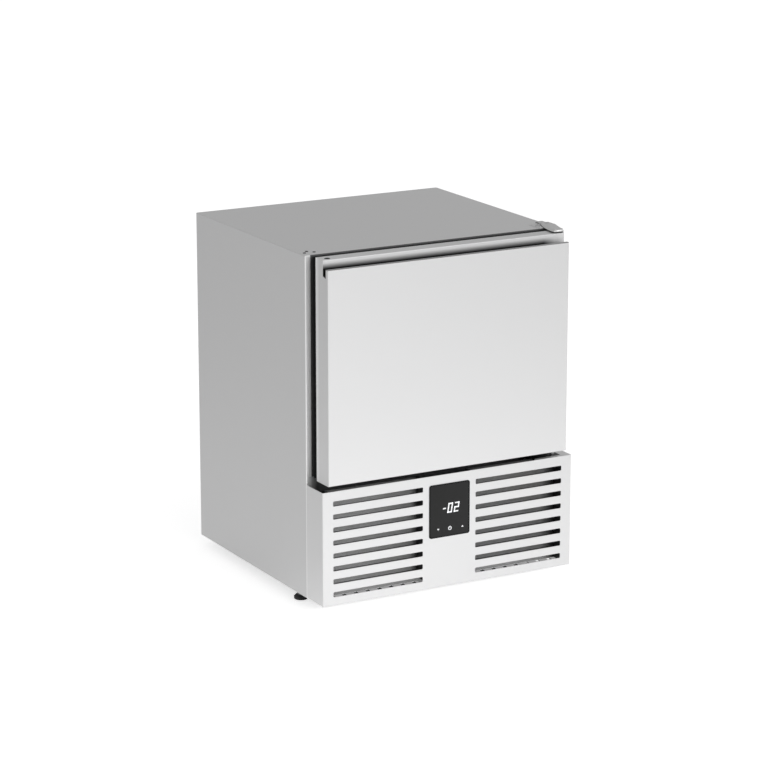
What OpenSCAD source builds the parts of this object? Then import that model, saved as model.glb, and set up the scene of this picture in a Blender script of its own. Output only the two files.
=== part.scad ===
// Compact under-counter freezer with a steel cabinet, a right-hinged door with a full-width
// finger grip along its top edge, and the refrigeration unit behind a slotted front panel.
// Millimetres. X runs to the right, Y to the back and Z up from the floor under the feet.

/* [Cabinet] */
// Width over the side panels
body_w = 600; // [590:2:640]
// Depth of the cabinet behind the door seal
body_d = 509; // [500:1:540]
// Height of the cabinet above its feet
body_h = 728; // [724:2:780]
// Thickness of the outer steel sheet
sheet = 1.2; // [1:0.1:1.5]
// Outer radius where the sheet is folded
bend_r = 2; // [1.6:0.1:2.4]
// Width of the flange folded in around the front opening
flange_w = 30; // [28:1:34]
// Width of the flange that the back panel lies on
rear_flange_w = 14; // [12:1:18]
// Distance of the machine compartment's ceiling below the front panel's top
ceiling_drop = 8.7; // [6:0.1:10]
// Thickness of the base tray
tray_t = 1.5; // [1.2:0.1:2]
// Height of the base tray's upturned edges
tray_edge = 20; // [14:1:24]

/* [Insulated box] */
// Side wall, from outer sheet to inner liner
side_wall = 50; // [48:1:54]
// Roof, from outer sheet to inner liner
roof_wall = 51; // [48:1:54]
// Rear wall, from back panel to inner liner
back_wall = 51; // [48:1:54]
// Floor, from machine compartment to inner liner
floor_wall = 50; // [48:1:54]
// Thickness of the inner liner
liner_t = 1.5; // [1:0.1:2]
// Radius of the liner's long inside corners
liner_r = 10; // [6:1:14]
// Thickness of the plastic frame between liner and outer sheet
breaker_t = 3; // [2:0.2:4]

/* [Door] */
// Distance from the cabinet's front flange to the door's face
door_front = 71; // [70:1:80]
// Room between the cabinet's front flange and the door slab, filled by the seal
seal_d = 19; // [15:1:20]
// Inset of the door's sides from the cabinet's sides
door_side_in = 14; // [12:1:16]
// Distance of the door's top below the cabinet's top
door_top_gap = 1; // [0.6:0.2:2]
// Gap between the front panel's top and the door
door_bottom_gap = 11.5; // [11:0.5:16]
// Distance of the grip lip's top below the door's top
lip_drop = 17.4; // [14:0.2:20]
// Thickness of the grip lip
lip_t = 8.5; // [7:0.5:10]
// Width of the finger groove behind the lip
grip_w = 12; // [11:0.5:14]
// Depth of the finger groove at the lip
grip_depth = 18.6; // [16:0.2:22]
// Height that the groove's floor rises towards the door slab
grip_rise = 3; // [2:0.5:4]
// Width of the magnetic seal
gasket_w = 27; // [24:1:28]
// Inset of the seal from the door's edge
gasket_in = 1; // [0.5:0.5:2]
// Height of the raised field inside the door
bulge_h = 9; // [6:1:12]

/* [Hinges] */
// Distance of the hinge axis from the cabinet's side
hinge_in = 29.5; // [27:0.5:31]
// Distance of the hinge axis ahead of the cabinet's front flange
hinge_out = 39.5; // [39:0.5:43]
// Radius of the hinge pins
pin_r = 4; // [3.5:0.1:4.5]
// Thickness of the bottom hinge plate
hinge_t = 3; // [2.5:0.5:4]
// Thickness of the top hinge plate
top_plate_t = 6; // [3:0.5:7]
// Radius of the top hinge plate around the pin
hinge_boss_r = 12.5; // [11:0.5:13]
// Length of the top hinge plate on the cabinet
hinge_plate_l = 46; // [44:1:54]
// Width of the top hinge plate on the cabinet
hinge_plate_w = 40; // [38:1:42]
// Width of the bottom hinge plate
low_plate_w = 84; // [76:1:90]
// Depth of the hinge bushes in the door
bush_l = 22; // [18:1:26]
// Outer radius of the hinge bushes
bush_r = 7; // [6.4:0.2:7.6]

/* [Front panel] */
// Height of the front panel
panel_h = 245.5; // [244:0.5:250]
// Distance from the cabinet's front flange to the panel's face
panel_d = 70; // [69:1:76]
// Slots in each column
slot_n = 8; // [6:1:8]
// Distance of the highest slot's middle below the panel's top
slot_top = 26.2; // [24:0.2:30]
// Height of a slot
slot_h = 11; // [8:0.1:12]
// Height of the lowest slot's middle above the panel's bottom
slot_z = 24; // [20:0.2:26]
// Distance of the slots' outer ends from the panel's sides
slot_out = 24.5; // [22:0.5:30]
// Distance of the slots' inner ends from the panel's middle
slot_in = 63.5; // [61:0.5:66]
// Corner radius of the slots
slot_r = 2.5; // [1.5:0.1:4]
// Distance of the filters behind the panel's face
filter_back = 27; // [24:1:30]
// Thickness of the filters
filter_t = 6; // [4:0.5:8]

/* [Controller] */
// Width of the display fascia
fascia_w = 97.5; // [94:0.5:102]
// Height of the display fascia
fascia_h = 116; // [110:1:118]
// Distance of the fascia's middle below the panel's top
fascia_drop = 77.8; // [74:0.2:82]
// Corner radius of the fascia
fascia_r = 5; // [3:0.5:8]
// Depth of the controller behind the fascia
controller_d = 30; // [24:1:34]

/* [Feet] */
// Height of the cabinet's bottom above the floor
foot_h = 22; // [20:1:26]
// Radius of a foot's pad
foot_r = 15; // [13:0.5:17]
// Distance of the front feet from the cabinet's sides
foot_in_x = 19; // [18:0.5:22]
// Distance of the rear feet from the cabinet's sides
rear_foot_in_x = 65; // [60:1:70]
// Distance of the feet from the cabinet's front and back
foot_in_y = 65; // [50:1:70]
// Radius of the feet's studs
stud_r = 5; // [4:0.5:6]
// Length of the feet's studs above the pad
stud_l = 40; // [36:1:44]

/* [Shelves] */
// Height of the lower shelf's runners above the freezer's floor
shelf_low_z = 112; // [100:1:120]
// Height of the upper shelf's runners above the freezer's floor
shelf_high_z = 242; // [230:1:250]
// Distance of the shelves' front edge behind the cabinet's front flange
shelf_front_in = 31; // [29:1:40]
// Depth of the shelves
shelf_d = 335; // [320:1:338]
// Radius of the shelves' frame wire
frame_wire_r = 3; // [2.5:0.1:3.5]
// Radius of the shelves' cross wires
wire_r = 1.6; // [1.2:0.1:2]
// Number of cross wires in a shelf
wire_n = 17; // [13:1:19]
// Width of a shelf runner
runner_w = 17; // [15:1:19]

/* [Condenser] */
// Width of the condenser's fin block
cond_w = 186; // [180:2:190]
// Height of the condenser
cond_h = 210; // [204:1:214]
// Depth of the condenser
cond_d = 36; // [34:1:38]
// Number of condenser fins
cond_fins = 20; // [16:1:24]
// Tubes above each other in the condenser
cond_rows = 6; // [4:2:6]
// Distance between the condenser's tubes
cond_pitch = 32; // [30:1:34]
// Radius of the condenser's tubes
cond_tube_r = 4.5; // [4:0.1:5]
// Radius of the condenser fan
cond_fan_r = 74; // [68:1:75]
// Number of condenser fan blades
cond_blades = 5; // [4:1:7]

/* [Evaporator] */
// Room beside the evaporator's fin block for its bends and pipes
evap_side = 50; // [45:1:70]
// Height of the evaporator
evap_h = 155; // [150:1:160]
// Number of evaporator fins
evap_fins = 26; // [16:1:30]
// Tubes above each other in the evaporator
evap_rows = 6; // [4:2:6]
// Room behind the evaporator cover
evap_room = 74; // [72:1:78]
// Radius of the evaporator fan
evap_fan_r = 57; // [50:1:60]
// Number of evaporator fan blades
evap_blades = 5; // [4:1:7]

/* [Compressor] */
// Radius of the compressor's shell
comp_r = 78; // [70:1:80]
// Height of the compressor's shell
comp_h = 172; // [160:1:180]
// Height of the rubber mounts under the compressor
comp_mount_h = 15; // [12:1:18]

/* [Hidden] */
$fn = 48;

// Past a cut surface, so that a hole goes right through
past = 1;
// Clearance of a piece that sits in another, and of a pin or shaft that turns in its bore
fit = 0.2;
running = 0.06;
// Distance between pieces of different bodies that rest on each other
rest_gap = 0.3;

// Planes of the cabinet
hw = body_w / 2;
back_head_h = 1.8;
total_d = body_d + door_front + back_head_h;
front_y = -total_d / 2;
frame_y = front_y + door_front;
back_y = total_d / 2 - back_head_h;
top_z = foot_h + body_h;
tray_z = foot_h + tray_t;
tray_slot_in = 60;
tray_slot_up = 6;
machine_h = panel_h - ceiling_drop;
ceiling_z = foot_h + machine_h;
foam_z = ceiling_z + sheet;

// The cold compartment
cav_hw = hw - side_wall;
cav_y0 = frame_y + breaker_t;
cav_y1 = back_y - back_wall;
cav_z0 = foam_z + floor_wall;
cav_z1 = top_z - roof_wall;
breaker_in = side_wall - flange_w;
rail_z1 = cav_z0 - breaker_in;
rail_drop = 19;
rail_z0 = ceiling_z - rail_drop;
rail_return = 20;

// The door
door_hw = hw - door_side_in;
door_z0 = foot_h + panel_h + door_bottom_gap;
door_z1 = top_z - door_top_gap;
door_rear = frame_y - seal_d;
lip_z = door_z1 - lip_drop;
lip_back = front_y + lip_t;
groove_back = lip_back + grip_w;
gasket_hw = door_hw - gasket_in;
gasket_z0 = door_z0 + gasket_in;
gasket_z1 = door_z1 - gasket_in;
gasket_face = frame_y - 0.35;
door_field_in = gasket_in + gasket_w;
fold_in = 8;

// The hinge axis, with the sweep that the seal's crowned edge keeps inside
axis_x = hw - hinge_in;
axis_y = frame_y - hinge_out;
crown_r = hinge_out - 0.15;

// Hinge screws
screw_r = 2.5;
screw_head_r = 4.8;
screw_head_h = 2.3;
plate_mid_x = axis_x + 7;
plate_screws = [[-11, 24.5], [11, 24.5], [0, 36.5]];
pin_shoulder_r = 5;

// The front panel
panel_y = frame_y - panel_d;
panel_top = foot_h + panel_h;
panel_tab_w = 26;
panel_tab_h = 24;
panel_tab_z = [2 / 7 * panel_h, 5 / 7 * panel_h];
slot_pitch = (panel_h - slot_z - slot_top) / (slot_n - 1);
fascia_z = panel_h - fascia_drop;
panel_floor_back = 8;
floor_hole_pitch = body_w / 21.5;
floor_hole_w = 8;
floor_hole_d = 10;
floor_hole_in = 17.5;
floor_hole_y = frame_y - floor_hole_in;
guide_t = 6;
guide_groove = 3;
guide_z0 = foot_h + 13;
guide_past = 9.5;
guide_z1 = panel_top - slot_top + slot_h + guide_past;
filter_y = panel_y + filter_back;
fascia_t = frame_y - panel_d - front_y;
cutout_in = 3;

// Feet
foot_x = [hw - foot_in_x, hw - rear_foot_in_x];
foot_y = [frame_y + foot_in_y, back_y - foot_in_y];
pad_h = 10;
socket_h = 8;
socket_r = 10;

// Shelves
wall_rod_x = cav_hw - 12;
shelf_y0 = frame_y + shelf_front_in;
shelf_y1 = shelf_y0 + shelf_d;
runner_t = 1.5;
runner_h = 15;
corner_r = 16;

// The condenser and its fan
cond_x0 = -hw + 34;
cond_x1 = cond_x0 + cond_w;
cond_y0 = frame_y + 20;
cond_y1 = cond_y0 + cond_d;
cond_z1 = tray_z + cond_h;
cond_plate_t = 1.5;
cond_cols = [cond_y0 + cond_d / 2 - 11, cond_y0 + cond_d / 2 + 11];
cond_tube_z0 = tray_z + (cond_h - (cond_rows - 1) * cond_pitch) / 2;
cond_tube_top = cond_tube_z0 + (cond_rows - 1) * cond_pitch;
cond_port_x = cond_x1 + 16;
fin_t = 0.6;
fan_x = (cond_x0 + cond_x1) / 2;
fan_z = tray_z + cond_h / 2;
shroud_y = cond_y1;
shroud_collar = 26;
fan_clear = 4;
strap_t = 2;
strap_foot = 10;
strap_reach = 42;
strap_y = shroud_y + strap_reach;
strap_h = 26;
strap_in = 11;
strap_bore = 6;
motor_l = 46;
motor_r = 34;
motor_cap = 6;
shaft_r = 3;

// The compressor
comp_in_x = 180;
comp_in_y = 179.1;
comp_x = hw - comp_in_x;
comp_y = back_y - comp_in_y;
comp_base_z = tray_z + comp_mount_h;
comp_plate_t = 3;
comp_shell_z = comp_base_z + comp_plate_t;
comp_bolt_x = 68;
comp_bolt_y = 62;
mount_r = 11;
bolt_r = 3;

// The evaporator, its cover and its fan
cover_t = 1.2;
cover_slot_pitch = 28;
cover_slot_w = 8;
cover_slot_h = 60;
cover_slot_up = 14;
cover_y = cav_y1 - evap_room;
cover_z0 = cav_z0 + 22;
evap_w = 2 * (cav_hw - evap_side);
evap_col_gap = 25;
evap_col_in = 24;
evap_cols = [cav_y1 - evap_col_in - evap_col_gap, cav_y1 - evap_col_in];
evap_pitch = 25;
evap_z0 = cav_z0 + 32;
evap_tube_z0 = evap_z0 + (evap_h - (evap_rows - 1) * evap_pitch) / 2;
evap_tube_r = 4.5;
evap_port_out = 12;
evap_port_x = evap_w / 2 + evap_port_out;
evap_plate_t = 1.5;
evap_fan_z = cav_z1 - 100;
evap_strap_reach = 30;
evap_strap_y = cover_y + cover_t + evap_strap_reach;
evap_strap_h = 20;
evap_strap_out = 14;
evap_motor_l = 30;
evap_motor_r = 26;
evap_fan_open = evap_fan_r + 5;
guard_wire = 2;

// Pipes
riser_in = 18;
riser_x = cav_hw - riser_in;
line_bend = 14;
suction_bend = 12;
capillary_bend = 8;
capillary_r = 1.5;
suction_r = 5;
capillary_gap = 2.5;
capillary_x = riser_x + suction_r + capillary_r + capillary_gap;
discharge_r = 3.5;
drier_r = 10;
drier_l = 80;
drier_x = cond_port_x + 24;
drier_z1 = cond_tube_top - 70;
low_line_z = tray_z + 8;
port_l = 8;
discharge_side = 30;
discharge_x = comp_x - discharge_side;
discharge_y = comp_y - comp_r - port_l;
discharge_run = 130;
discharge_run_y = comp_y - discharge_run;
discharge_fall = 34;
discharge_fall_x = cond_port_x + discharge_fall;
discharge_z = comp_shell_z + 0.72 * comp_h;
suction_z = comp_shell_z + 0.42 * comp_h;
suction_x = comp_x + comp_r + port_l;

// Drain
drain_in = 165;
drain_x = -hw + drain_in;
drain_y = cav_y1 - 22;
drain_r = 8;
drain_wall = 1.5;
drain_end = tray_z + 26;
pan_w = 160;
pan_d = 150;
pan_h = 38;
pan_t = 2;

// Back panel vents and power inlet
vent_w = 150;
vent_h = 6;
vent_pitch = 18;
vent_n = 8;
vent_x = hw / 2;
vent_z = foot_h + 60;
inlet_w = 28;
inlet_h = 48;
inlet_in = 50;
inlet_x = -hw + inlet_in;
inlet_up = 130;
inlet_z = foot_h + inlet_up;

// Helpers

module box(p, s) translate(p) cube(s);

// A shape drawn in X and Z, from y0 to y1
module along_y(y0, y1) translate([0, y1, 0]) rotate([90, 0, 0]) linear_extrude(y1 - y0) children();

// A shape drawn in Y and Z, centred on the middle plane
module along_x(l) rotate([90, 0, 90]) translate([0, 0, -l / 2]) linear_extrude(l) children();

module both_sides() {
    children();
    mirror([1, 0, 0]) children();
}

// A rectangle with all corners rounded, from corner p
module round_rect(p, s, r) {
    translate([p[0] + r, p[1]]) square([s[0] - 2 * r, s[1]]);
    translate([p[0], p[1] + r]) square([s[0], s[1] - 2 * r]);
    for (x = [p[0] + r, p[0] + s[0] - r], y = [p[1] + r, p[1] + s[1] - r])
        translate([x, y]) circle(r);
}

// A strip outside a rounded corner, to cut along an edge: quadrant signs sx and sy
module corner_cut(r, sx, sy) difference() {
    translate([sx > 0 ? 0 : -past - r, sy > 0 ? 0 : -past - r]) square(r + past);
    circle(r);
}

// A countersunk screw hole or screw, head at the origin and shank down
module countersunk(l, grow = 0) {
    translate([0, 0, -screw_head_h]) cylinder(h = screw_head_h, r1 = screw_r, r2 = screw_head_r + grow);
    translate([0, 0, -l]) cylinder(h = l - screw_head_h, r = screw_r);
}

// A pipe of radius r along points joined by square corners of bend radius b
function unit(v) = v / norm(v);
module pipe_run(a, b, r) {
    d = unit(b - a);
    tilt = acos(d[2]);
    turn = atan2(d[1], d[0]);
    translate(a) rotate([0, tilt, turn]) cylinder(h = norm(b - a), r = r, $fn = 24);
}
module pipe_bend(p, d1, d2, b, r) {
    c = p - b * d1 + b * d2;
    x = -d2;
    y = d1;
    z = cross(d1, d2);
    multmatrix([
        [x[0], y[0], z[0], c[0]],
        [x[1], y[1], z[1], c[1]],
        [x[2], y[2], z[2], c[2]],
        [0, 0, 0, 1]
    ]) rotate_extrude(angle = 90, $fn = 48) translate([b, 0]) circle(r, $fn = 24);
}
module pipe(points, b, r) {
    last = len(points) - 1;
    for (i = [0 : last - 1]) {
        d = unit(points[i + 1] - points[i]);
        a = i == 0 ? points[0] : points[i] + b * d;
        e = i == last - 1 ? points[last] : points[i + 1] - b * d;
        pipe_run(a, e, r);
    }
    for (i = [1 : last - 1])
        pipe_bend(points[i], unit(points[i] - points[i - 1]), unit(points[i + 1] - points[i]), b, r);
}

// A half-circle return bend at p, opening towards -X for side 1, in the plane of direction d
module return_bend(p, side, upright, pitch, r) translate(p) mirror([side > 0 ? 0 : 1, 0, 0])
    rotate(upright ? [90, 0, 0] : [0, 0, 0]) rotate([0, 0, -90])
        rotate_extrude(angle = 180, $fn = 48) translate([pitch / 2, 0]) circle(r, $fn = 24);

// Tubes of a coil that runs to and fro between two end plates, with its ports on the right
module serpentine(x0, x1, cols, z0, rows, pitch, r, reach, port_row) {
    for (y = cols, i = [0 : rows - 1]) {
        is_port = i == port_row;
        pipe_run([x0 - 2, y, z0 + i * pitch], [x1 + (is_port ? reach : 2), y, z0 + i * pitch], r);
    }
    for (y = cols, i = [0 : rows - 2]) {
        left = i % 2 == 0;
        return_bend([left ? x0 - 2 : x1 + 2, y, z0 + (i + 0.5) * pitch], left ? -1 : 1, true, pitch, r);
    }
    link_row = port_row == 0 ? rows - 1 : 0;
    gap = cols[1] - cols[0];
    return_bend([x1 + 2, (cols[0] + cols[1]) / 2, z0 + link_row * pitch], 1, false, gap, r);
}

// A fan with curved blades turning about Y, its hub's front face at y0
module fan_wheel(y0, hub_l, hub_r, tip_r, blades, bore_r) {
    curve_r = tip_r * 0.85;
    along_y(y0, y0 + hub_l) difference() {
        circle(hub_r);
        circle(bore_r);
    }
    for (i = [0 : blades - 1]) rotate([0, i * 360 / blades, 0])
        intersection() {
            // a shallow shell whose axis lies along the blade, tilted to push the air
            translate([0, y0 + hub_l / 2, 0]) rotate([0, 0, 28])
                translate([0, -curve_r, -past]) difference() {
                    cylinder(h = tip_r + past, r = curve_r + 0.8, $fn = 96);
                    translate([0, 0, -past]) cylinder(h = tip_r + 3 * past, r = curve_r - 0.8, $fn = 96);
                }
            along_y(y0 + 1, y0 + hub_l - 1) intersection() {
                difference() {
                    circle(tip_r, $fn = 96);
                    circle(hub_r - 1);
                }
                polygon([[-tip_r * 0.38, hub_r * 0.3], [tip_r * 0.38, hub_r * 0.3],
                    [tip_r * 0.5, tip_r * 1.1], [-tip_r * 0.5, tip_r * 1.1]]);
            }
        }
}

// Cabinet

module shell_block() intersection() {
    along_y(frame_y, back_y) difference() {
        translate([-hw, foot_h]) square([body_w, body_h]);
        for (s = [-1, 1]) translate([s * (hw - bend_r), top_z - bend_r]) corner_cut(bend_r, s, 1);
    }
    linear_extrude(top_z + past) difference() {
        translate([-hw, frame_y]) square([body_w, body_d]);
        for (s = [-1, 1]) translate([s * (hw - bend_r), frame_y + bend_r]) corner_cut(bend_r, s, -1);
    }
    along_x(body_w + 2) difference() {
        translate([frame_y, foot_h]) square([body_d, body_h]);
        translate([frame_y + bend_r, top_z - bend_r]) corner_cut(bend_r, -1, 1);
    }
}

module rear_flange() difference() {
    along_y(back_y - 2 * sheet, back_y - sheet) difference() {
        translate([-hw + sheet / 2, foot_h]) square([body_w - sheet, body_h - sheet / 2]);
        translate([-hw + rear_flange_w, foot_h - past])
            square([body_w - 2 * rear_flange_w, body_h - rear_flange_w + past]);
    }
    back_screw_places() cylinder(h = 4 * sheet, r = screw_r, center = true);
}

module outer_shell() color("silver") difference() {
    union() {
        difference() {
            shell_block();
            box([-hw + sheet, frame_y + sheet, foot_h - past],
                [body_w - 2 * sheet, body_d, body_h - sheet + past]);
            box([-hw + flange_w, frame_y - past, foot_h - past],
                [body_w - 2 * flange_w, sheet + 2 * past, body_h - flange_w + past]);
        }
        rear_flange();
    }
    both_sides() top_screw_places() cylinder(h = 4 * sheet, r = screw_r, center = true);
    panel_screw_places() rotate([90, 0, 0]) cylinder(h = 6 * sheet, r = screw_r, center = true);
    translate([low_plate_screws[2], frame_y, low_screw_z]) rotate([90, 0, 0])
        cylinder(h = 6 * sheet, r = screw_r, center = true);
}

// Places of the back panel's screws, tool axis along Y
module back_screw_places()
    for (x = [-hw + 8, hw - 8], z = [foot_h + 30, (foot_h + top_z) / 2, top_z - 30])
        translate([x, back_y - sheet, z]) rotate([90, 0, 0]) children();

module back_panel() color("lightgray") difference() {
    box([-hw + sheet, back_y - sheet, foot_h], [body_w - 2 * sheet, sheet, body_h - sheet]);
    back_screw_places() cylinder(h = 4 * sheet, r = screw_r, center = true);
    along_y(back_y - 2 * sheet, back_y + past) {
        for (s = [-1, 1], i = [0 : vent_n - 1])
            round_rect([s * vent_x - vent_w / 2 + (s < 0 ? 60 : 0), vent_z + i * vent_pitch - vent_h / 2],
                [vent_w, vent_h], vent_h / 2 - 0.01);
        translate([inlet_x - inlet_w / 2, inlet_z - inlet_h / 2]) square([inlet_w, inlet_h]);
    }
}

module back_panel_screws() color("dimgray") back_screw_places() rotate([180, 0, 0])
    translate([0, 0, sheet]) {
        cylinder(h = back_head_h, r = 4.4);
        translate([0, 0, -sheet - 7]) cylinder(h = sheet + 7, r = screw_r);
    }

module compartment_ceiling() color("lightsteelblue") difference() {
    box([-hw + sheet, frame_y + sheet, ceiling_z], [body_w - 2 * sheet, body_d - 3 * sheet, sheet]);
    service_holes(ceiling_z - past, foam_z + past);
}

// Drain and pipe holes between z0 and z1
module service_holes(z0, z1) {
    translate([drain_x, drain_y, z0]) cylinder(h = z1 - z0, r = drain_r);
    translate([capillary_x, evap_cols[0], z0]) cylinder(h = z1 - z0, r = capillary_r + fit);
    translate([riser_x, evap_cols[1], z0]) cylinder(h = z1 - z0, r = suction_r + fit);
}

module front_rail() color("silver") difference() {
    union() {
        box([-hw + flange_w, frame_y, rail_z0], [body_w - 2 * flange_w, sheet, rail_z1 - rail_z0]);
        box([-hw + flange_w, frame_y, rail_z0], [body_w - 2 * flange_w, rail_return, sheet]);
    }
    for (i = [0, 1]) translate([low_plate_screws[i], frame_y, low_screw_z]) rotate([90, 0, 0])
        cylinder(h = 6 * sheet, r = screw_r, center = true);
}

module base_tray() color("lightsteelblue") difference() {
    box([-hw + sheet, frame_y + sheet, foot_h], [body_w - 2 * sheet, body_d - 3 * sheet, tray_edge]);
    box([-hw + sheet + tray_t, frame_y + sheet + tray_t, tray_z],
        [body_w - 2 * sheet - 2 * tray_t, body_d - 3 * sheet - 2 * tray_t, tray_edge]);
    foot_places() cylinder(h = 4 * foot_h, r = stud_r + 0.5, center = true);
    compressor_bolt_places() cylinder(h = 4 * tray_z, r = bolt_r, center = true);
    // the front edge drops where the panel's floor meets it and air passes to the filters
    box([-hw + tray_slot_in, frame_y, tray_z + tray_slot_up],
        [body_w - 2 * tray_slot_in, sheet + 2 * tray_t, tray_edge]);
}

module liner_profile(grow) round_rect([-cav_hw - grow, cav_z0 - grow],
    [2 * (cav_hw + grow), cav_z1 - cav_z0 + 2 * grow], liner_r + grow);

module wall_insulation() color("lightyellow") difference() {
    union() {
        box([-hw + sheet, frame_y + sheet, foam_z],
            [body_w - 2 * sheet, body_d - 3 * sheet, top_z - sheet - foam_z]);
        box([-hw + rear_flange_w, back_y - 3 * sheet, foam_z],
            [body_w - 2 * rear_flange_w, 2 * sheet, top_z - rear_flange_w - foam_z]);
    }
    along_y(cav_y0 - past, cav_y1 + liner_t) liner_profile(liner_t);
    box([-hw + flange_w, frame_y, rail_z1], [body_w - 2 * flange_w, breaker_t, top_z - flange_w - rail_z1]);
    service_holes(foam_z - past, cav_z0);
    both_sides() top_screw_places() cylinder(h = 30, r = screw_r, center = true);
    back_screw_places() cylinder(h = 20, r = screw_r, center = true);
}

module inner_liner() color("white") difference() {
    along_y(cav_y0, cav_y1 + liner_t) liner_profile(liner_t);
    along_y(cav_y0 - past, cav_y1) liner_profile(0);
    service_holes(cav_z0 - 3 * liner_t, cav_z0 + past);
}

module breaker_frame() color("dimgray") along_y(frame_y, cav_y0) difference() {
    translate([-hw + flange_w, rail_z1]) square([body_w - 2 * flange_w, top_z - flange_w - rail_z1]);
    liner_profile(0);
}

// Front panel

module panel_block() intersection() {
    translate([0, 0, foot_h]) linear_extrude(panel_h) difference() {
        translate([-hw, panel_y]) square([body_w, panel_d]);
        for (s = [-1, 1]) translate([s * (hw - bend_r), panel_y + bend_r]) corner_cut(bend_r, s, -1);
    }
    along_x(body_w + 2) difference() {
        translate([panel_y, foot_h - past]) square([panel_d, panel_h + 2 * past]);
        translate([panel_y + bend_r, foot_h + bend_r]) corner_cut(bend_r, -1, -1);
        translate([panel_y - past, foot_h - 2 * past]) square([panel_d + 2 * past, 2 * past]);
    }
}

module slot_shapes() both_sides() for (i = [0 : slot_n - 1])
    round_rect([slot_in, foot_h + slot_z + i * slot_pitch - slot_h / 2],
        [hw - slot_out - slot_in, slot_h], slot_r);

// Places of the panel's screws in the front flange, at the flange's face
module panel_screw_places() for (s = [-1, 1], z = panel_tab_z)
    translate([s * (hw - panel_tab_w + 9), frame_y, foot_h + z]) children();

module grille_panel() color("gainsboro") difference() {
    union() {
        difference() {
            panel_block();
            box([-hw + sheet, panel_y + sheet, foot_h + sheet],
                [body_w - 2 * sheet, panel_d, panel_h]);
            box([-hw + sheet, frame_y - panel_floor_back, foot_h - past],
                [body_w - 2 * sheet, panel_d, 3 * past]);
        }
        for (s = [-1, 1], z = panel_tab_z)
            translate([s * (hw - panel_tab_w / 2 - sheet / 2), frame_y - sheet / 2, foot_h + z])
                cube([panel_tab_w - sheet, sheet, panel_tab_h], center = true);
    }
    along_y(panel_y - past, panel_y + 3 * sheet) {
        slot_shapes();
        translate([-fascia_w / 2 + cutout_in, foot_h + fascia_z - fascia_h / 2 + cutout_in])
            square([fascia_w - 2 * cutout_in, fascia_h - 2 * cutout_in]);
    }
    panel_screw_places() rotate([90, 0, 0]) cylinder(h = 6 * sheet, r = screw_r, center = true);
    for (i = [-10 : 10]) translate([i * floor_hole_pitch, floor_hole_y, foot_h])
        linear_extrude(6 * sheet, center = true)
            round_rect([-floor_hole_w / 2, -floor_hole_d / 2], [floor_hole_w, floor_hole_d], 2);
}

module panel_screws() color("dimgray") panel_screw_places() rotate([90, 0, 0]) {
    translate([0, 0, sheet]) cylinder(h = 2, r = 4);
    translate([0, 0, -6]) cylinder(h = 6 + sheet, r = screw_r);
}

// Upright channels that hold a filter's two edges behind the slots
module guide(x0, open_side) difference() {
    box([x0, panel_y + sheet, guide_z0], [guide_t, filter_back + filter_t, guide_z1 - guide_z0]);
    box([open_side > 0 ? x0 + guide_t - guide_groove : x0 - past, filter_y, guide_z0 - past],
        [guide_groove + past, filter_t, guide_z1 - guide_z0 + 2 * past]);
}

module filter_guides() color("black") both_sides() {
    guide(slot_in - 0.5 - guide_t, 1);
    guide(hw - slot_out + 0.5, -1);
}

module vent_filters() color("gray") both_sides() {
    x0 = slot_in - 0.5 - guide_groove + fit;
    x1 = hw - slot_out + 0.5 + guide_groove - fit;
    rim = 8;
    z0 = guide_z0;
    z1 = guide_z1;
    difference() {
        box([x0, filter_y + fit / 2, z0], [x1 - x0, filter_t - fit, z1 - z0]);
        box([x0 + rim, filter_y - past, z0 + rim], [x1 - x0 - 2 * rim, past + 1.5, z1 - z0 - 2 * rim]);
        box([x0 + rim, filter_y + filter_t - 1.5, z0 + rim],
            [x1 - x0 - 2 * rim, past + 1.5, z1 - z0 - 2 * rim]);
    }
}

module control_fascia() color([0.15, 0.15, 0.15]) {
    z0 = foot_h + fascia_z - fascia_h / 2;
    along_y(panel_y - fascia_t, panel_y)
        round_rect([-fascia_w / 2, z0], [fascia_w, fascia_h], fascia_r);
    along_y(panel_y - 0.01, panel_y + 3)
        translate([-fascia_w / 2 + cutout_in + fit, z0 + cutout_in + fit])
            square([fascia_w - 2 * (cutout_in + fit), fascia_h - 2 * (cutout_in + fit)]);
}

module controller_housing() color("dimgray") {
    z0 = foot_h + fascia_z - fascia_h / 2 + 5;
    w = fascia_w - 10;
    h = fascia_h - 10;
    difference() {
        along_y(panel_y + 3, panel_y + 3 + controller_d) round_rect([-w / 2, z0], [w, h], 3);
        // sockets for the sensor and power leads
        box([-w / 2 + 10, panel_y + controller_d - 3, z0 + 12], [w - 20, 10, 14]);
    }
    for (i = [0 : 4]) box([-w / 2 + 14 + i * 13, panel_y + controller_d - 3, z0 + 15], [8, 4, 6]);
}

// Hinges

module top_screw_places() for (p = plate_screws)
    translate([plate_mid_x + p[0], frame_y + p[1], top_z]) children();

low_plate_x1 = hw - sheet - fit;
low_plate_x0 = low_plate_x1 - low_plate_w;
low_plate_screws = [low_plate_x0 + 12, low_plate_x0 + 36, hw - 14];
low_leaf = 30;
low_screw_drop = 18;
low_screw_z = panel_top - low_screw_drop;

module top_hinge_plate() color("silver") {
    translate([0, 0, top_z]) difference() {
        linear_extrude(top_plate_t) {
            round_rect([plate_mid_x - hinge_plate_w / 2, frame_y + 1], [hinge_plate_w, hinge_plate_l], 4);
            polygon([
                [axis_x - hinge_boss_r, axis_y], [axis_x + hinge_boss_r, axis_y],
                [plate_mid_x + hinge_plate_w / 2, frame_y + 7],
                [plate_mid_x - hinge_plate_w / 2, frame_y + 7]
            ]);
            translate([axis_x, axis_y]) circle(hinge_boss_r);
        }
        translate([axis_x, axis_y, -past]) cylinder(h = top_plate_t + 2 * past, r = pin_r);
        for (p = plate_screws) translate([plate_mid_x + p[0], frame_y + p[1], top_plate_t]) {
            countersunk(top_plate_t + past);
            cylinder(h = past, r = screw_head_r);
        }
    }
}

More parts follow.
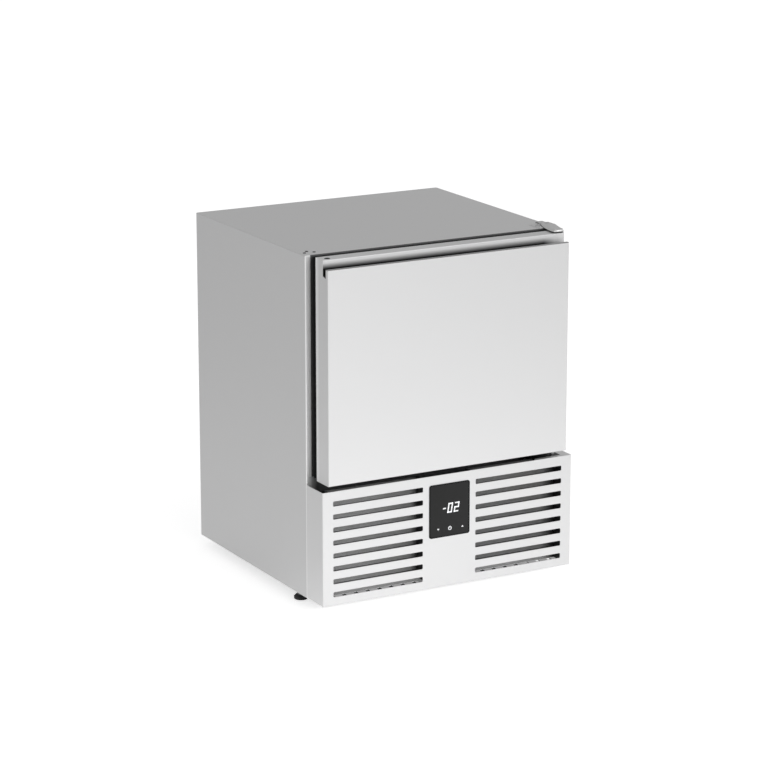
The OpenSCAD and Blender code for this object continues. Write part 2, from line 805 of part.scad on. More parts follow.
module top_hinge_pin() color("gainsboro") translate([axis_x, axis_y, top_z]) {
    // riveted flush with the plate's top, its lower end in the door's bush
    translate([0, 0, -bush_l + 2]) cylinder(h = bush_l - 2 + top_plate_t, r = pin_r);
}

module bottom_hinge_plate() color("silver") difference() {
    union() {
        translate([0, 0, panel_top - hinge_t]) linear_extrude(hinge_t)
            round_rect([low_plate_x0, panel_y + sheet + fit],
                [low_plate_w, panel_d - sheet - fit], 2);
        box([low_plate_x0, frame_y - hinge_t, panel_top - low_leaf], [low_plate_w, hinge_t, low_leaf]);
    }
    translate([axis_x, axis_y, panel_top - 2 * hinge_t]) cylinder(h = 3 * hinge_t, r = pin_r);
    for (x = low_plate_screws) translate([x, frame_y - hinge_t, low_screw_z]) rotate([90, 0, 0]) {
        countersunk(hinge_t + past);
        cylinder(h = past, r = screw_head_r);
    }
}

module bottom_hinge_pin() color("gainsboro") translate([axis_x, axis_y, 0]) {
    translate([0, 0, panel_top - hinge_t - 2]) cylinder(h = 2, r = pin_shoulder_r + 1);
    translate([0, 0, panel_top - hinge_t]) cylinder(h = hinge_t, r = pin_r);
    translate([0, 0, panel_top]) cylinder(h = door_bottom_gap - rest_gap, r = pin_shoulder_r);
    translate([0, 0, panel_top]) cylinder(h = door_bottom_gap + bush_l - 3, r = pin_r);
}

module hinge_screws() color("gray") {
    translate([0, 0, top_plate_t]) top_screw_places() countersunk(top_plate_t + 11);
    for (x = low_plate_screws) translate([x, frame_y - hinge_t, low_screw_z])
        rotate([90, 0, 0]) countersunk(10);
}

// Feet

module foot_places() for (s = [-1, 1], i = [0, 1]) translate([s * foot_x[i], foot_y[i], 0]) children();

module foot_sockets() color("gray") foot_places() difference() {
    translate([0, 0, tray_z]) cylinder(h = socket_h, r = socket_r, $fn = 6);
    cylinder(h = 4 * foot_h, r = stud_r + running);
}

module foot(x, y) color([0.1, 0.1, 0.1]) translate([x, y, 0]) {
    rotate_extrude() polygon([
        [0, 0], [foot_r - 1.5, 0], [foot_r, 1.5], [foot_r, 6], [foot_r - 4, pad_h], [0, pad_h]
    ]);
    translate([0, 0, pad_h]) cylinder(h = 5, r = stud_r + 3.5, $fn = 6);
    translate([0, 0, pad_h]) cylinder(h = stud_l, r = stud_r);
}

module foot_front_left() foot(-foot_x[0], foot_y[0]);
module foot_front_right() foot(foot_x[0], foot_y[0]);
module foot_rear_left() foot(-foot_x[1], foot_y[1]);
module foot_rear_right() foot(foot_x[1], foot_y[1]);

// Compressor

module compressor_bolt_places() for (x = [-1, 1], y = [-1, 1])
    translate([comp_x + x * comp_bolt_x, comp_y + y * comp_bolt_y, 0]) children();

module compressor() color([0.12, 0.12, 0.13]) difference() {
    union() {
        translate([comp_x, comp_y, 0]) {
            // two drawn half shells with the weld rim between them
            translate([0, 0, comp_shell_z]) rotate_extrude($fn = 64) union() {
                translate([0, 20]) square([comp_r, comp_h - 46]);
                square([comp_r - 20, comp_h]);
                translate([comp_r - 20, 20]) circle(20);
                translate([0, comp_h - 26 - 14]) intersection() {
                    translate([comp_r - 40, 0]) circle(40, $fn = 96);
                    square([comp_r + 1, 41]);
                }
                translate([0, comp_h * 0.55]) square([comp_r + 4, 4]);
            }
        }
        translate([comp_x, comp_y, comp_base_z]) linear_extrude(comp_plate_t)
            round_rect([-comp_bolt_x - 16, -comp_bolt_y - 16],
                [2 * comp_bolt_x + 32, 2 * comp_bolt_y + 32], 10);
        pipe_run([discharge_x, comp_y, discharge_z], [discharge_x, discharge_y, discharge_z], 5);
        pipe_run([comp_x, comp_y, suction_z], [suction_x, comp_y, suction_z], 6.5);
    }
    compressor_bolt_places() cylinder(h = 4 * comp_shell_z, r = bolt_r + 2, center = true);
    translate([comp_x, comp_y, comp_base_z - past]) cylinder(h = past, r = comp_r);
}

module compressor_terminal_cover() color([0.2, 0.2, 0.2]) difference() {
    along_y(comp_y - comp_r - 16, comp_y - comp_r + 12)
        round_rect([comp_x - 4, comp_shell_z + 26], [56, 56], 5);
    translate([comp_x, comp_y, 0]) cylinder(h = 2 * comp_h, r = comp_r, $fn = 64);
}

module compressor_mounts() color("black") compressor_bolt_places() difference() {
    union() {
        translate([0, 0, tray_z]) cylinder(h = comp_mount_h, r = mount_r);
        translate([0, 0, tray_z]) cylinder(h = comp_mount_h + comp_plate_t, r = bolt_r + 2);
        translate([0, 0, comp_shell_z]) cylinder(h = 3, r = mount_r - 2);
    }
    cylinder(h = 4 * comp_shell_z, r = bolt_r, center = true);
}

module compressor_bolts() color("gray") compressor_bolt_places() {
    translate([0, 0, foot_h - 1.8]) cylinder(h = comp_shell_z + 3 + 1.8 - foot_h, r = bolt_r);
    translate([0, 0, foot_h - 4]) cylinder(h = 4, r = 6, $fn = 6);
    translate([0, 0, comp_shell_z + 3]) cylinder(h = 4, r = 6, $fn = 6);
}

// Condenser and its fan

module fin_stack(x0, x1, n, y0, y1, z0, z1) {
    pitch = (x1 - x0) / (n + 1);
    for (i = [1 : n]) box([x0 + i * pitch - fin_t / 2, y0, z0], [fin_t, y1 - y0, z1 - z0]);
}

module condenser_coil() color("darkgoldenrod") {
    serpentine(cond_x0, cond_x1, cond_cols, cond_tube_z0, cond_rows, cond_pitch, cond_tube_r,
        cond_port_x - cond_x1, cond_rows - 1);
    fin_stack(cond_x0, cond_x1, cond_fins, cond_y0 + 1, cond_y1 - 1, tray_z + 4, cond_z1 - 4);
    for (x = [cond_x0, cond_x1 - cond_plate_t]) box([x, cond_y0, tray_z], [cond_plate_t, cond_d, cond_h]);
}

module condenser_shroud() color("silver") {
    difference() {
        union() {
            box([cond_x0, shroud_y, tray_z], [cond_w, sheet, cond_h]);
            translate([fan_x, 0, fan_z]) along_y(shroud_y, shroud_y + shroud_collar)
                circle(cond_fan_r + fan_clear + sheet, $fn = 96);
        }
        translate([fan_x, 0, fan_z]) along_y(shroud_y - past, shroud_y + shroud_collar + past)
            circle(cond_fan_r + fan_clear, $fn = 96);
    }
}

// A strap that carries a motor behind a fan, with legs forward to the plate at y0
module motor_strap(x, z, half_w, y0, y1, leg_h, hole_r) difference() {
    translate([x, 0, z]) union() {
        box([-half_w, y1, -leg_h / 2], [2 * half_w, strap_t, leg_h]);
        for (s = [-1, 1]) translate([s * (half_w - strap_t / 2), (y0 + y1 + strap_t) / 2, 0])
            cube([strap_t, y1 + strap_t - y0, leg_h], center = true);
        for (s = [-1, 1]) translate([s * (half_w + (strap_foot - strap_t) / 2), y0 + strap_t / 2, 0])
            cube([strap_foot + strap_t, strap_t, leg_h], center = true);
    }
    translate([x, 0, z]) along_y(y1 - past, y1 + strap_t + past) circle(hole_r);
}

strap_half = cond_w / 2 - strap_in;

module condenser_fan_bracket() color("gray")
    motor_strap(fan_x, fan_z, strap_half, shroud_y + sheet, strap_y, strap_h, strap_bore);

module fan_motor(x, z, y0, l, r, shaft_y) color("dimgray") translate([x, 0, z]) {
    along_y(y0, y0 + l) circle(r);
    along_y(y0 + l, y0 + l + motor_cap) circle(r * 0.5);
    along_y(shaft_y, y0 + 1) circle(shaft_r);
}

fan_hub_l = 26;
fan_y = shroud_y + 8;
module condenser_fan_motor()
    fan_motor(fan_x, fan_z, strap_y + strap_t, motor_l, motor_r, fan_y - 3);

module condenser_fan() color("black") translate([fan_x, 0, fan_z])
    fan_wheel(fan_y, fan_hub_l, 24, cond_fan_r, cond_blades, shaft_r + running);

// Evaporator and its fan

module evaporator_coil() color("darkgray") {
    x0 = -evap_w / 2;
    x1 = evap_w / 2;
    serpentine(x0, x1, evap_cols, evap_tube_z0, evap_rows, evap_pitch, evap_tube_r,
        evap_port_x - x1, 0);
    fin_stack(x0, x1, evap_fins, evap_cols[0] - 12, evap_cols[1] + 12, evap_z0 + 2, evap_z0 + evap_h - 2);
    for (x = [x0, x1 - evap_plate_t])
        box([x, evap_cols[0] - 14, evap_z0], [evap_plate_t, cav_y1 - evap_cols[0] + 14, evap_h]);
}

module evaporator_cover() color("white") {
    z0 = cover_z0;
    difference() {
        along_y(cover_y, cover_y + cover_t) intersection() {
            liner_profile(0);
            translate([-cav_hw, z0]) square([2 * cav_hw, cav_z1 - z0]);
        }
        along_y(cover_y - past, cover_y + cover_t + past) {
            translate([0, evap_fan_z]) circle(evap_fan_open, $fn = 72);
            // return air slots along the bottom
            for (i = [-7 : 7]) round_rect([i * cover_slot_pitch - cover_slot_w / 2, z0 + cover_slot_up],
                [cover_slot_w, cover_slot_h], cover_slot_w / 2 - 0.1);
        }
    }
    // folded foot that stiffens the bottom edge
    box([-cav_hw, cover_y, z0], [2 * cav_hw, 16, cover_t]);
    // finger guard over the fan
    along_y(cover_y, cover_y + cover_t) translate([0, evap_fan_z]) {
        for (r = [12 : 12 : evap_fan_open - 8]) difference() {
            circle(r + guard_wire / 2, $fn = 72);
            circle(r - guard_wire / 2, $fn = 72);
        }
        for (a = [0 : 45 : 135]) rotate(a)
            square([2 * evap_fan_open + 2, guard_wire], center = true);
    }
}

evap_strap_half = evap_fan_open + evap_strap_out;
module evaporator_fan_bracket() color("gray")
    motor_strap(0, evap_fan_z, evap_strap_half, cover_y + cover_t, evap_strap_y, evap_strap_h, strap_bore);

evap_hub_l = 18;
evap_fan_y = cover_y + cover_t + 4;
module evaporator_fan_motor()
    fan_motor(0, evap_fan_z, evap_strap_y + strap_t, evap_motor_l, evap_motor_r, evap_fan_y - 1);

module evaporator_fan() color("black") translate([0, 0, evap_fan_z])
    fan_wheel(evap_fan_y, evap_hub_l, 17, evap_fan_r, evap_blades, shaft_r + running);

// Pipes and drain

module discharge_line() color("peru") pipe([
    [discharge_x, discharge_y, discharge_z], [discharge_x, discharge_run_y, discharge_z],
    [discharge_x, discharge_run_y, cond_tube_top], [discharge_fall_x, discharge_run_y, cond_tube_top],
    [discharge_fall_x, cond_cols[1], cond_tube_top], [cond_port_x, cond_cols[1], cond_tube_top]
], line_bend, discharge_r);

module capillary_line() color("peru") {
    pipe([
        [cond_port_x, cond_cols[0], cond_tube_top], [drier_x, cond_cols[0], cond_tube_top],
        [drier_x, cond_cols[0], drier_z1]
    ], line_bend, discharge_r);
    pipe([
        [drier_x, cond_cols[0], drier_z1 - drier_l], [drier_x, cond_cols[0], low_line_z],
        [capillary_x, cond_cols[0], low_line_z], [capillary_x, evap_cols[0], low_line_z],
        [capillary_x, evap_cols[0], evap_tube_z0], [evap_port_x, evap_cols[0], evap_tube_z0]
    ], capillary_bend, capillary_r);
}

module suction_line() color("peru") pipe([
    [suction_x, comp_y, suction_z], [riser_x, comp_y, suction_z],
    [riser_x, evap_cols[1], suction_z], [riser_x, evap_cols[1], evap_tube_z0],
    [evap_port_x, evap_cols[1], evap_tube_z0]
], suction_bend, suction_r);

module filter_drier() color("peru") translate([drier_x, cond_cols[0], drier_z1 - drier_l])
    rotate_extrude() polygon([
        [0, 0], [4, 0], [drier_r, 10], [drier_r, drier_l - 10], [5, drier_l], [0, drier_l]
    ]);

module drain_tube() color("lightgray") translate([drain_x, drain_y, 0]) difference() {
    translate([0, 0, drain_end]) cylinder(h = cav_z0 - drain_end, r = drain_r);
    cylinder(h = 2 * cav_z0, r = drain_r - drain_wall);
}

module evaporation_tray() color("dimgray") {
    x0 = drain_x - pan_w / 2;
    y0 = drain_y - pan_d / 2 - 20;
    difference() {
        translate([0, 0, tray_z]) linear_extrude(pan_h) round_rect([x0, y0], [pan_w, pan_d], 10);
        translate([0, 0, tray_z + pan_t]) linear_extrude(pan_h)
            round_rect([x0 + pan_t, y0 + pan_t], [pan_w - 2 * pan_t, pan_d - 2 * pan_t], 8);
    }
}

// Inside fittings

module runner(z) both_sides() {
    box([cav_hw - runner_t, shelf_y0 - 6, z - runner_h + runner_t], [runner_t, shelf_d + 12, runner_h]);
    box([cav_hw - runner_w, shelf_y0 - 6, z], [runner_w, shelf_d + 12, runner_t]);
}

module shelf_runners() color("silver") {
    runner(cav_z0 + shelf_low_z - runner_t);
    runner(cav_z0 + shelf_high_z - runner_t);
}

module shelf(z) color("whitesmoke") {
    zc = z + rest_gap + frame_wire_r;
    x = wall_rod_x;
    corners = [[-x, shelf_y0 + frame_wire_r], [x, shelf_y0 + frame_wire_r],
        [x, shelf_y1 - frame_wire_r], [-x, shelf_y1 - frame_wire_r]];
    mid = (shelf_y0 + shelf_y1) / 2;
    pipe([
        [-x, mid, zc], concat(corners[0], zc), concat(corners[1], zc),
        concat(corners[2], zc), concat(corners[3], zc), [-x, mid, zc]
    ], corner_r, frame_wire_r);
    for (y = [mid - shelf_d / 6, mid + shelf_d / 6]) pipe_run([-x, y, zc], [x, y, zc], frame_wire_r - 0.6);
    pitch = 2 * (x - corner_r) / (wire_n - 1);
    for (i = [0 : wire_n - 1]) {
        wx = -x + corner_r + i * pitch;
        pipe_run([wx, shelf_y0 + 1, zc + frame_wire_r], [wx, shelf_y1 - 1, zc + frame_wire_r], wire_r);
    }
}

module upper_shelf() shelf(cav_z0 + shelf_high_z);
module lower_shelf() shelf(cav_z0 + shelf_low_z);

probe_in = 20;
module temperature_probe() color("black") {
    x = evap_w / 2 - probe_in;
    z = cav_z0 + (shelf_low_z + shelf_high_z) / 2 + 10;
    translate([x, cover_y - 4, z - 20]) {
        cylinder(h = 36, r = 3, $fn = 24);
        translate([0, 0, 36]) cylinder(h = 2.4, r1 = 3, r2 = 1.2, $fn = 24);
    }
    box([x - 6, cover_y - 1.2, z - 8], [12, 1.2, 12]);
    box([x - 3, cover_y - 4, z - 8], [6, 4, 12]);
}

module power_inlet() color([0.12, 0.12, 0.12]) {
    difference() {
        union() {
            along_y(back_y - sheet - 22, back_y - sheet)
                round_rect([inlet_x - inlet_w / 2 - 4, inlet_z - inlet_h / 2 - 4],
                    [inlet_w + 8, inlet_h + 8], 3);
            along_y(back_y - sheet, back_y)
                translate([inlet_x - inlet_w / 2 + fit, inlet_z - inlet_h / 2 + fit])
                    square([inlet_w - 2 * fit, inlet_h - 2 * fit]);
        }
        along_y(back_y - 17, back_y + past)
            round_rect([inlet_x - 12, inlet_z - 8], [24, 16], 2);
    }
    for (p = [[-7, -2], [7, -2], [0, 3]]) translate([inlet_x + p[0], 0, inlet_z + p[1]])
        along_y(back_y - 18, back_y - 9) square([2, 4], center = true);
}

// Door

// The door's side outline, drawn t inside its surface and back to y1
function door_outline(t, y1) = [
    [front_y + t, door_z0 + t],
    [front_y + t, lip_z - t],
    [lip_back - t, lip_z - t],
    [lip_back - t, lip_z - grip_depth - t],
    [groove_back + t, lip_z - grip_depth + grip_rise - t],
    [groove_back + t, door_z1 - t],
    [y1, door_z1 - t],
    [y1, door_z0 + t]
];

module door_hole_places() both_sides() translate([axis_x, axis_y, 0]) children();

module door_block() intersection() {
    along_x(2 * door_hw) difference() {
        polygon(door_outline(0, door_rear));
        translate([front_y + bend_r, door_z0 + bend_r]) corner_cut(bend_r, -1, -1);
        translate([front_y + bend_r, lip_z - bend_r]) corner_cut(bend_r, -1, 1);
        translate([groove_back + bend_r, door_z1 - bend_r]) corner_cut(bend_r, -1, 1);
    }
    linear_extrude(top_z) difference() {
        translate([-door_hw, front_y]) square([2 * door_hw, door_rear - front_y]);
        for (s = [-1, 1]) translate([s * (door_hw - bend_r), front_y + bend_r]) corner_cut(bend_r, s, -1);
    }
}

module door_skin() color("gainsboro") difference() {
    union() {
        difference() {
            door_block();
            along_x(2 * (door_hw - sheet)) polygon(door_outline(sheet, door_rear + past));
        }
        // flange folded in at the back, which carries the seal
        along_y(door_rear - sheet, door_rear) difference() {
            translate([-door_hw + sheet / 2, door_z0 + sheet / 2])
                square([2 * door_hw - sheet, door_z1 - door_z0 - sheet]);
            door_field(0);
        }
    }
    door_hole_places() {
        translate([0, 0, door_z1 - 3 * sheet]) cylinder(h = 6 * sheet, r = pin_r + 0.2);
        translate([0, 0, door_z0 - past]) cylinder(h = 3 * sheet, r = bush_r);
    }
}

// The field inside the seal, drawn inset further by grow
module door_field(inset) round_rect(
    [-door_hw + door_field_in + inset, door_z0 + door_field_in + inset],
    [2 * (door_hw - door_field_in - inset), door_z1 - door_z0 - 2 * (door_field_in + inset)],
    6);

module door_insulation() color("lightyellow") difference() {
    union() {
        along_x(2 * (door_hw - sheet)) polygon(door_outline(sheet, door_rear - sheet));
        along_y(door_rear - 2 * sheet, door_rear + bulge_h - liner_t) door_field(fold_in + liner_t);
    }
    door_hole_places() {
        translate([0, 0, door_z1 - sheet - bush_l]) cylinder(h = bush_l + past, r = bush_r);
        translate([0, 0, door_z0]) cylinder(h = bush_l, r = bush_r);
    }
}

module door_liner() color("white") difference() {
    union() {
        along_y(door_rear - sheet, door_rear) door_field(0);
        along_y(door_rear - sheet / 2, door_rear + bulge_h) door_field(fold_in);
    }
    along_y(door_rear - 2 * sheet, door_rear + bulge_h - liner_t) door_field(fold_in + liner_t);
}

// The seal's face is crowned along its upright edges, so that it clears the frame as it swings
module door_gasket() color([0.08, 0.08, 0.08]) difference() {
    translate([0, 0, gasket_z0]) linear_extrude(gasket_z1 - gasket_z0) intersection() {
        translate([-gasket_hw, door_rear]) square([2 * gasket_hw, gasket_face - door_rear]);
        union() {
            for (s = [-1, 1]) translate([s * axis_x, axis_y]) circle(crown_r, $fn = 128);
            translate([-axis_x, door_rear]) square([2 * axis_x, seal_d]);
        }
    }
    along_y(door_rear - past, gasket_face + past) door_field(0);
}

module door_hinge_bushes() color("white") door_hole_places() {
    difference() {
        translate([0, 0, door_z1 - sheet - bush_l]) cylinder(h = bush_l, r = bush_r);
        translate([0, 0, door_z1 - sheet - bush_l + 2]) cylinder(h = bush_l, r = pin_r + running);
    }
    difference() {
        translate([0, 0, door_z0]) cylinder(h = bush_l, r = bush_r);
        translate([0, 0, door_z0 - past]) cylinder(h = bush_l, r = pin_r + running);
    }
}

outer_shell();
back_panel();
compartment_ceiling();
front_rail();
base_tray();
wall_insulation();
inner_liner();
breaker_frame();
grille_panel();
filter_guides();
vent_filters();
control_fascia();
controller_housing();
top_hinge_plate();
bottom_hinge_plate();
top_hinge_pin();
bottom_hinge_pin();
hinge_screws();
panel_screws();
back_panel_screws();
foot_sockets();
compressor();
compressor_terminal_cover();
compressor_mounts();
compressor_bolts();
condenser_coil();
condenser_shroud();
condenser_fan_bracket();
condenser_fan_motor();
discharge_line();
capillary_line();
suction_line();
filter_drier();
evaporator_coil();
evaporator_cover();
evaporator_fan_bracket();
evaporator_fan_motor();
drain_tube();
evaporation_tray();
shelf_runners();
temperature_probe();
power_inlet();
door_skin();
door_insulation();
door_liner();
door_gasket();
door_hinge_bushes();
condenser_fan();
evaporator_fan();
upper_shelf();
lower_shelf();
foot_front_left();
foot_front_right();
foot_rear_left();
foot_rear_right();
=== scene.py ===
import math

import bmesh
import bpy
from mathutils import Matrix, Vector


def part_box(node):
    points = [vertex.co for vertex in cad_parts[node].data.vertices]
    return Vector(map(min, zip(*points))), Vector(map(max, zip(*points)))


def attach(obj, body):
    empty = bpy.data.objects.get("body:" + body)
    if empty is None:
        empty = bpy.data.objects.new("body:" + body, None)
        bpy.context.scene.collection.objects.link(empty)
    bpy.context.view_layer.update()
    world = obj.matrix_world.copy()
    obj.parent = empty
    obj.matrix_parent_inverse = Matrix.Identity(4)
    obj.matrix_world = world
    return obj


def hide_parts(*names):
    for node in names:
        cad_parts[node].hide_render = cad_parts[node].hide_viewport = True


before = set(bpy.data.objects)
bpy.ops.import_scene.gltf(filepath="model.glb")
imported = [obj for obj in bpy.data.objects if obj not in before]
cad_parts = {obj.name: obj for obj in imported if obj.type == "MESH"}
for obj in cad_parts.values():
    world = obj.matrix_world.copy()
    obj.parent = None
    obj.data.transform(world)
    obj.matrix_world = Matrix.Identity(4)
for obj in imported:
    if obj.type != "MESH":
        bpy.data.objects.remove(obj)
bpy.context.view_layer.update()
print("frame loaded:", len(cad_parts), "nodes")

# camera: far away with a long lens, as in the product shot
view = {
    "place": (-3.05865, -5.53613, 2.03703),
    "yaw": 0.5053,  # radians to the right of straight ahead
    "pitch": 0.2540,  # radians downwards
    "lens": 141.99, "sensor": 36, "clipEnd": 200,
}


def linked(name, data, place):
    made = bpy.data.objects.new(name, data)
    bpy.context.scene.collection.objects.link(made)
    made.location = place
    return made


def setCamera():
    data = bpy.data.cameras.new("productCamera")
    data.lens = view["lens"]
    data.sensor_width = view["sensor"]
    data.clip_end = view["clipEnd"]
    camera = linked("productCamera", data, view["place"])
    camera.rotation_euler = (math.pi / 2 - view["pitch"], 0, -view["yaw"])
    bpy.context.scene.camera = camera


setCamera()
print("camera set")


class Signal:  # a socket that takes part in sums
    def __init__(self, board, socket):
        self.board = board
        self.socket = socket

    def sum(self, operation, other, turned=False):
        first, second = (other, self) if turned else (self, other)
        return self.board.node("ShaderNodeMath", {"operation": operation}, {0: first, 1: second})

    def __add__(self, other):
        return self.sum("ADD", other)

    def __radd__(self, other):
        return self.sum("ADD", other, True)

    def __sub__(self, other):
        return self.sum("SUBTRACT", other)

    def __rsub__(self, other):
        return self.sum("SUBTRACT", other, True)

    def __mul__(self, other):
        return self.sum("MULTIPLY", other)

    def __rmul__(self, other):
        return self.sum("MULTIPLY", other, True)

    def __gt__(self, other):
        return self.sum("GREATER_THAN", other)

    def __lt__(self, other):
        return self.sum("LESS_THAN", other)

    def __abs__(self):
        return self.sum("ABSOLUTE", 0.0)


class Board:  # a node tree that makes any node from one call
    def __init__(self, tree):
        self.tree = tree

    def node(self, kind, settings=None, feeds=None, output=0):
        made = self.tree.nodes.new(kind)
        for key, value in (settings or {}).items():
            setattr(made, key, value)
        for key, value in (feeds or {}).items():
            self.feed(made.inputs[key], value)
        return Signal(self, made.outputs[output]) if made.outputs else made

    def feed(self, socket, value):
        if isinstance(value, Signal):
            self.tree.links.new(value.socket, socket)
        elif socket.type == "RGBA" and len(value) == 3:
            socket.default_value = (*value, 1)
        else:
            socket.default_value = value

    def apart(self, vector):
        node = self.node("ShaderNodeSeparateXYZ", feeds={0: vector}).socket.node
        return [Signal(self, node.outputs[i]) for i in range(3)]

    def ramp(self, value, low, high):  # 0 below low, 1 above high
        feeds = {"Value": value, "From Min": low, "From Max": high}
        return self.node("ShaderNodeMapRange", {"clamp": True}, feeds)

    def larger(self, first, second):
        return self.node("ShaderNodeMath", {"operation": "MAXIMUM"}, {0: first, 1: second})

    def remainder(self, value, step):
        return self.node("ShaderNodeMath", {"operation": "MODULO"}, {0: value, 1: step})

    def wave(self, value, length):
        return self.node("ShaderNodeMath", {"operation": "SINE"}, {0: value * (2 * math.pi / length)})

    def ray(self, kind):  # 1 for a ray of this kind
        return self.node("ShaderNodeLightPath", output=f"Is {kind} Ray")


class Finish(Board):  # a material on the object's own coordinates
    sockets = {"colour": "Base Color", "roughness": "Roughness", "metallic": "Metallic", "normal": "Normal"}

    def __init__(self, name, metallic=0.0, specular=0.5):
        self.material = bpy.data.materials.new(name)
        self.material.use_nodes = True
        super().__init__(self.material.node_tree)
        self.shader = self.tree.nodes["Principled BSDF"]
        self.shader.inputs["Metallic"].default_value = metallic
        self.shader.inputs["Specular IOR Level"].default_value = specular
        self.place = self.node("ShaderNodeTexCoord", output="Object")

    def set(self, **feeds):
        for key, value in feeds.items():
            self.feed(self.shader.inputs[self.sockets[key]], value)

    def shine(self, colour, strength):
        self.feed(self.shader.inputs["Emission Color"], colour)
        self.shader.inputs["Emission Strength"].default_value = strength

    def axes(self):
        return self.apart(self.place)

    def facing(self):  # how far a surface faces along X, Y and Z
        return self.apart(self.node("ShaderNodeNewGeometry", output="Normal"))

    def noise(self, scale, detail=4, roughness=0.55, stretch=None):
        place = self.place
        if stretch:
            place = self.node("ShaderNodeMapping", feeds={"Vector": place, "Scale": stretch})
        feeds = {"Vector": place, "Scale": scale, "Detail": detail, "Roughness": roughness}
        return self.node("ShaderNodeTexNoise", feeds=feeds)

    def cells(self, scale, output="Distance"):
        return self.node("ShaderNodeTexVoronoi", feeds={"Vector": self.place, "Scale": scale}, output=output)

    def blend(self, factor, first, second):
        settings = {"data_type": "RGBA", "clamp_factor": True}
        return self.node("ShaderNodeMix", settings, {0: factor, 6: first, 7: second}, 2)

    def mixValue(self, factor, first, second):
        return self.node("ShaderNodeMix", {"data_type": "FLOAT"}, {0: factor, 2: first, 3: second})

    def bump(self, height, distance, strength=1.0, under=None):
        feeds = {"Height": height, "Distance": distance, "Strength": strength}
        if under:
            feeds["Normal"] = under
        return self.node("ShaderNodeBump", feeds=feeds)


def tones(colour, *factors):  # the colour times each factor
    return [tuple(min(1.0, part * factor) for part in colour) for factor in factors]


# stainless sheet with a fine grain, a little unevenness of the sheet and faint handling marks
steelSheet = {
    "doorSteel": {"colour": (0.82, 0.82, 0.822), "grain": "across", "roughness": 0.46},
    "cabinetSteel": {"colour": (0.78, 0.78, 0.782), "grain": "along", "roughness": 0.48},
    "hingeSteel": {"colour": (0.72, 0.72, 0.72), "grain": "fine", "roughness": 0.42},
    "lowHingeSteel": {"colour": (0.86, 0.86, 0.86), "grain": "fine", "roughness": 0.46},
    # painted highlights and painted shade on the steel
    "shadedSide": (0.75, 0.75, 0.752),  # painted shade: the sides of door and front panel are darker
    "paintedHighlight": (0.97, 0.97, 0.97),  # painted highlight on the shell's front folds and on the top hinge's front faces
    "edgeHighlightColour": (0.93, 0.93, 0.93),
    "paintedShade": (0.02, 0.02, 0.021),
    "frameShade": (0.122, 0.122, 0.124),
    "leafShade": (0.03, 0.03, 0.031),
    "lipTop": (0.4, 0.4, 0.402),
    "floorLight": (0.95, 0.95, 0.95),
}
steelGrain = {
    "metallic": 0.82, "lines": (1.0, 3, 0.6),
    "length": 5,  # scale along a grain line
    "fine": 1500,  # and across it
    "dots": (900, 2), "broad": (2.2, 2, 0.5, (1, 1, 1.6)),
    "marks": (26, 5, 0.7, (1, 1, 0.5)), "marksShown": (0.56, 0.8),
    "level": 0.6,  # a face that points up or down by more lies level
    "spread": (0.9, 1.1), "grainTone": 0.10, "broadTone": 0.03, "grainRough": 0.10,
    "marksRough": 0.035, "broadRough": 0.04, "dents": (3.4, 1), "dentDepth": 0.00045,
    "depth": 0.00002, "relief": 0.7,
}
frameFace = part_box("outer_shell")[0].y
doorLow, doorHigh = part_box("door_skin")
panelLow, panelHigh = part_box("grille_panel")
leafLow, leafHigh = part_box("bottom_hinge_plate")
doorTone = {
    "slope": 0.6,  # painted light: brighter to the left and downwards
    "middle": 0.5, "bottom": doorLow.z - 0.001,
    "panelDrop": 0.17,  # painted shade: the front panel is this much darker
    "shadedSide": 0.7, "edgeHighlight": (doorHigh.y - 0.015, doorHigh.y - 0.003),
}
# painted shade on the cabinet's upright faces: darker than its top, and changing with height
cabinetTone = {"level": 0.7, "slope": 0.3, "drop": 0.15}
grip = {
    "lipBack": doorLow.y + 0.0084, "lipEnd": doorLow.y + 0.0089, "behind": doorLow.y + 0.026,
    "floor": doorHigh.z - 0.045,
    "hollowShade": (doorHigh.z - 0.0185, doorHigh.z - 0.006),  # painted shade up to here, bare from here
    "lip": (doorHigh.z - 0.0186, doorHigh.z - 0.0164), "fade": (0.236, 0.262), "faded": 0.85,
    "facing": 0.5,
}
# the frame's front: a painted highlight on its folds outside the given x, painted shade inside it
flange = {
    "depth": frameFace + 0.0026, "paintedHighlight": 0.2882, "shadeFrom": doorLow.z + 0.005,
    "under": (0.275, 0.297),
}
leafShadeBounds = {"front": leafLow.y + 0.0095, "right": leafHigh.x - 0.0195}
holePitch = (panelHigh.x - panelLow.x) / 21.5
ground = {
    "top": panelLow.z + 0.0016, "front": panelLow.y + 0.004, "holeY": frameFace - 0.0183,
    "holePitch": holePitch, "holeStart": holePitch * 20.5, "halfWide": 0.0047, "halfDeep": 0.0050,
    "holeShare": 0.97, "metallicDrop": 0.8, "glow": 0.3,
}


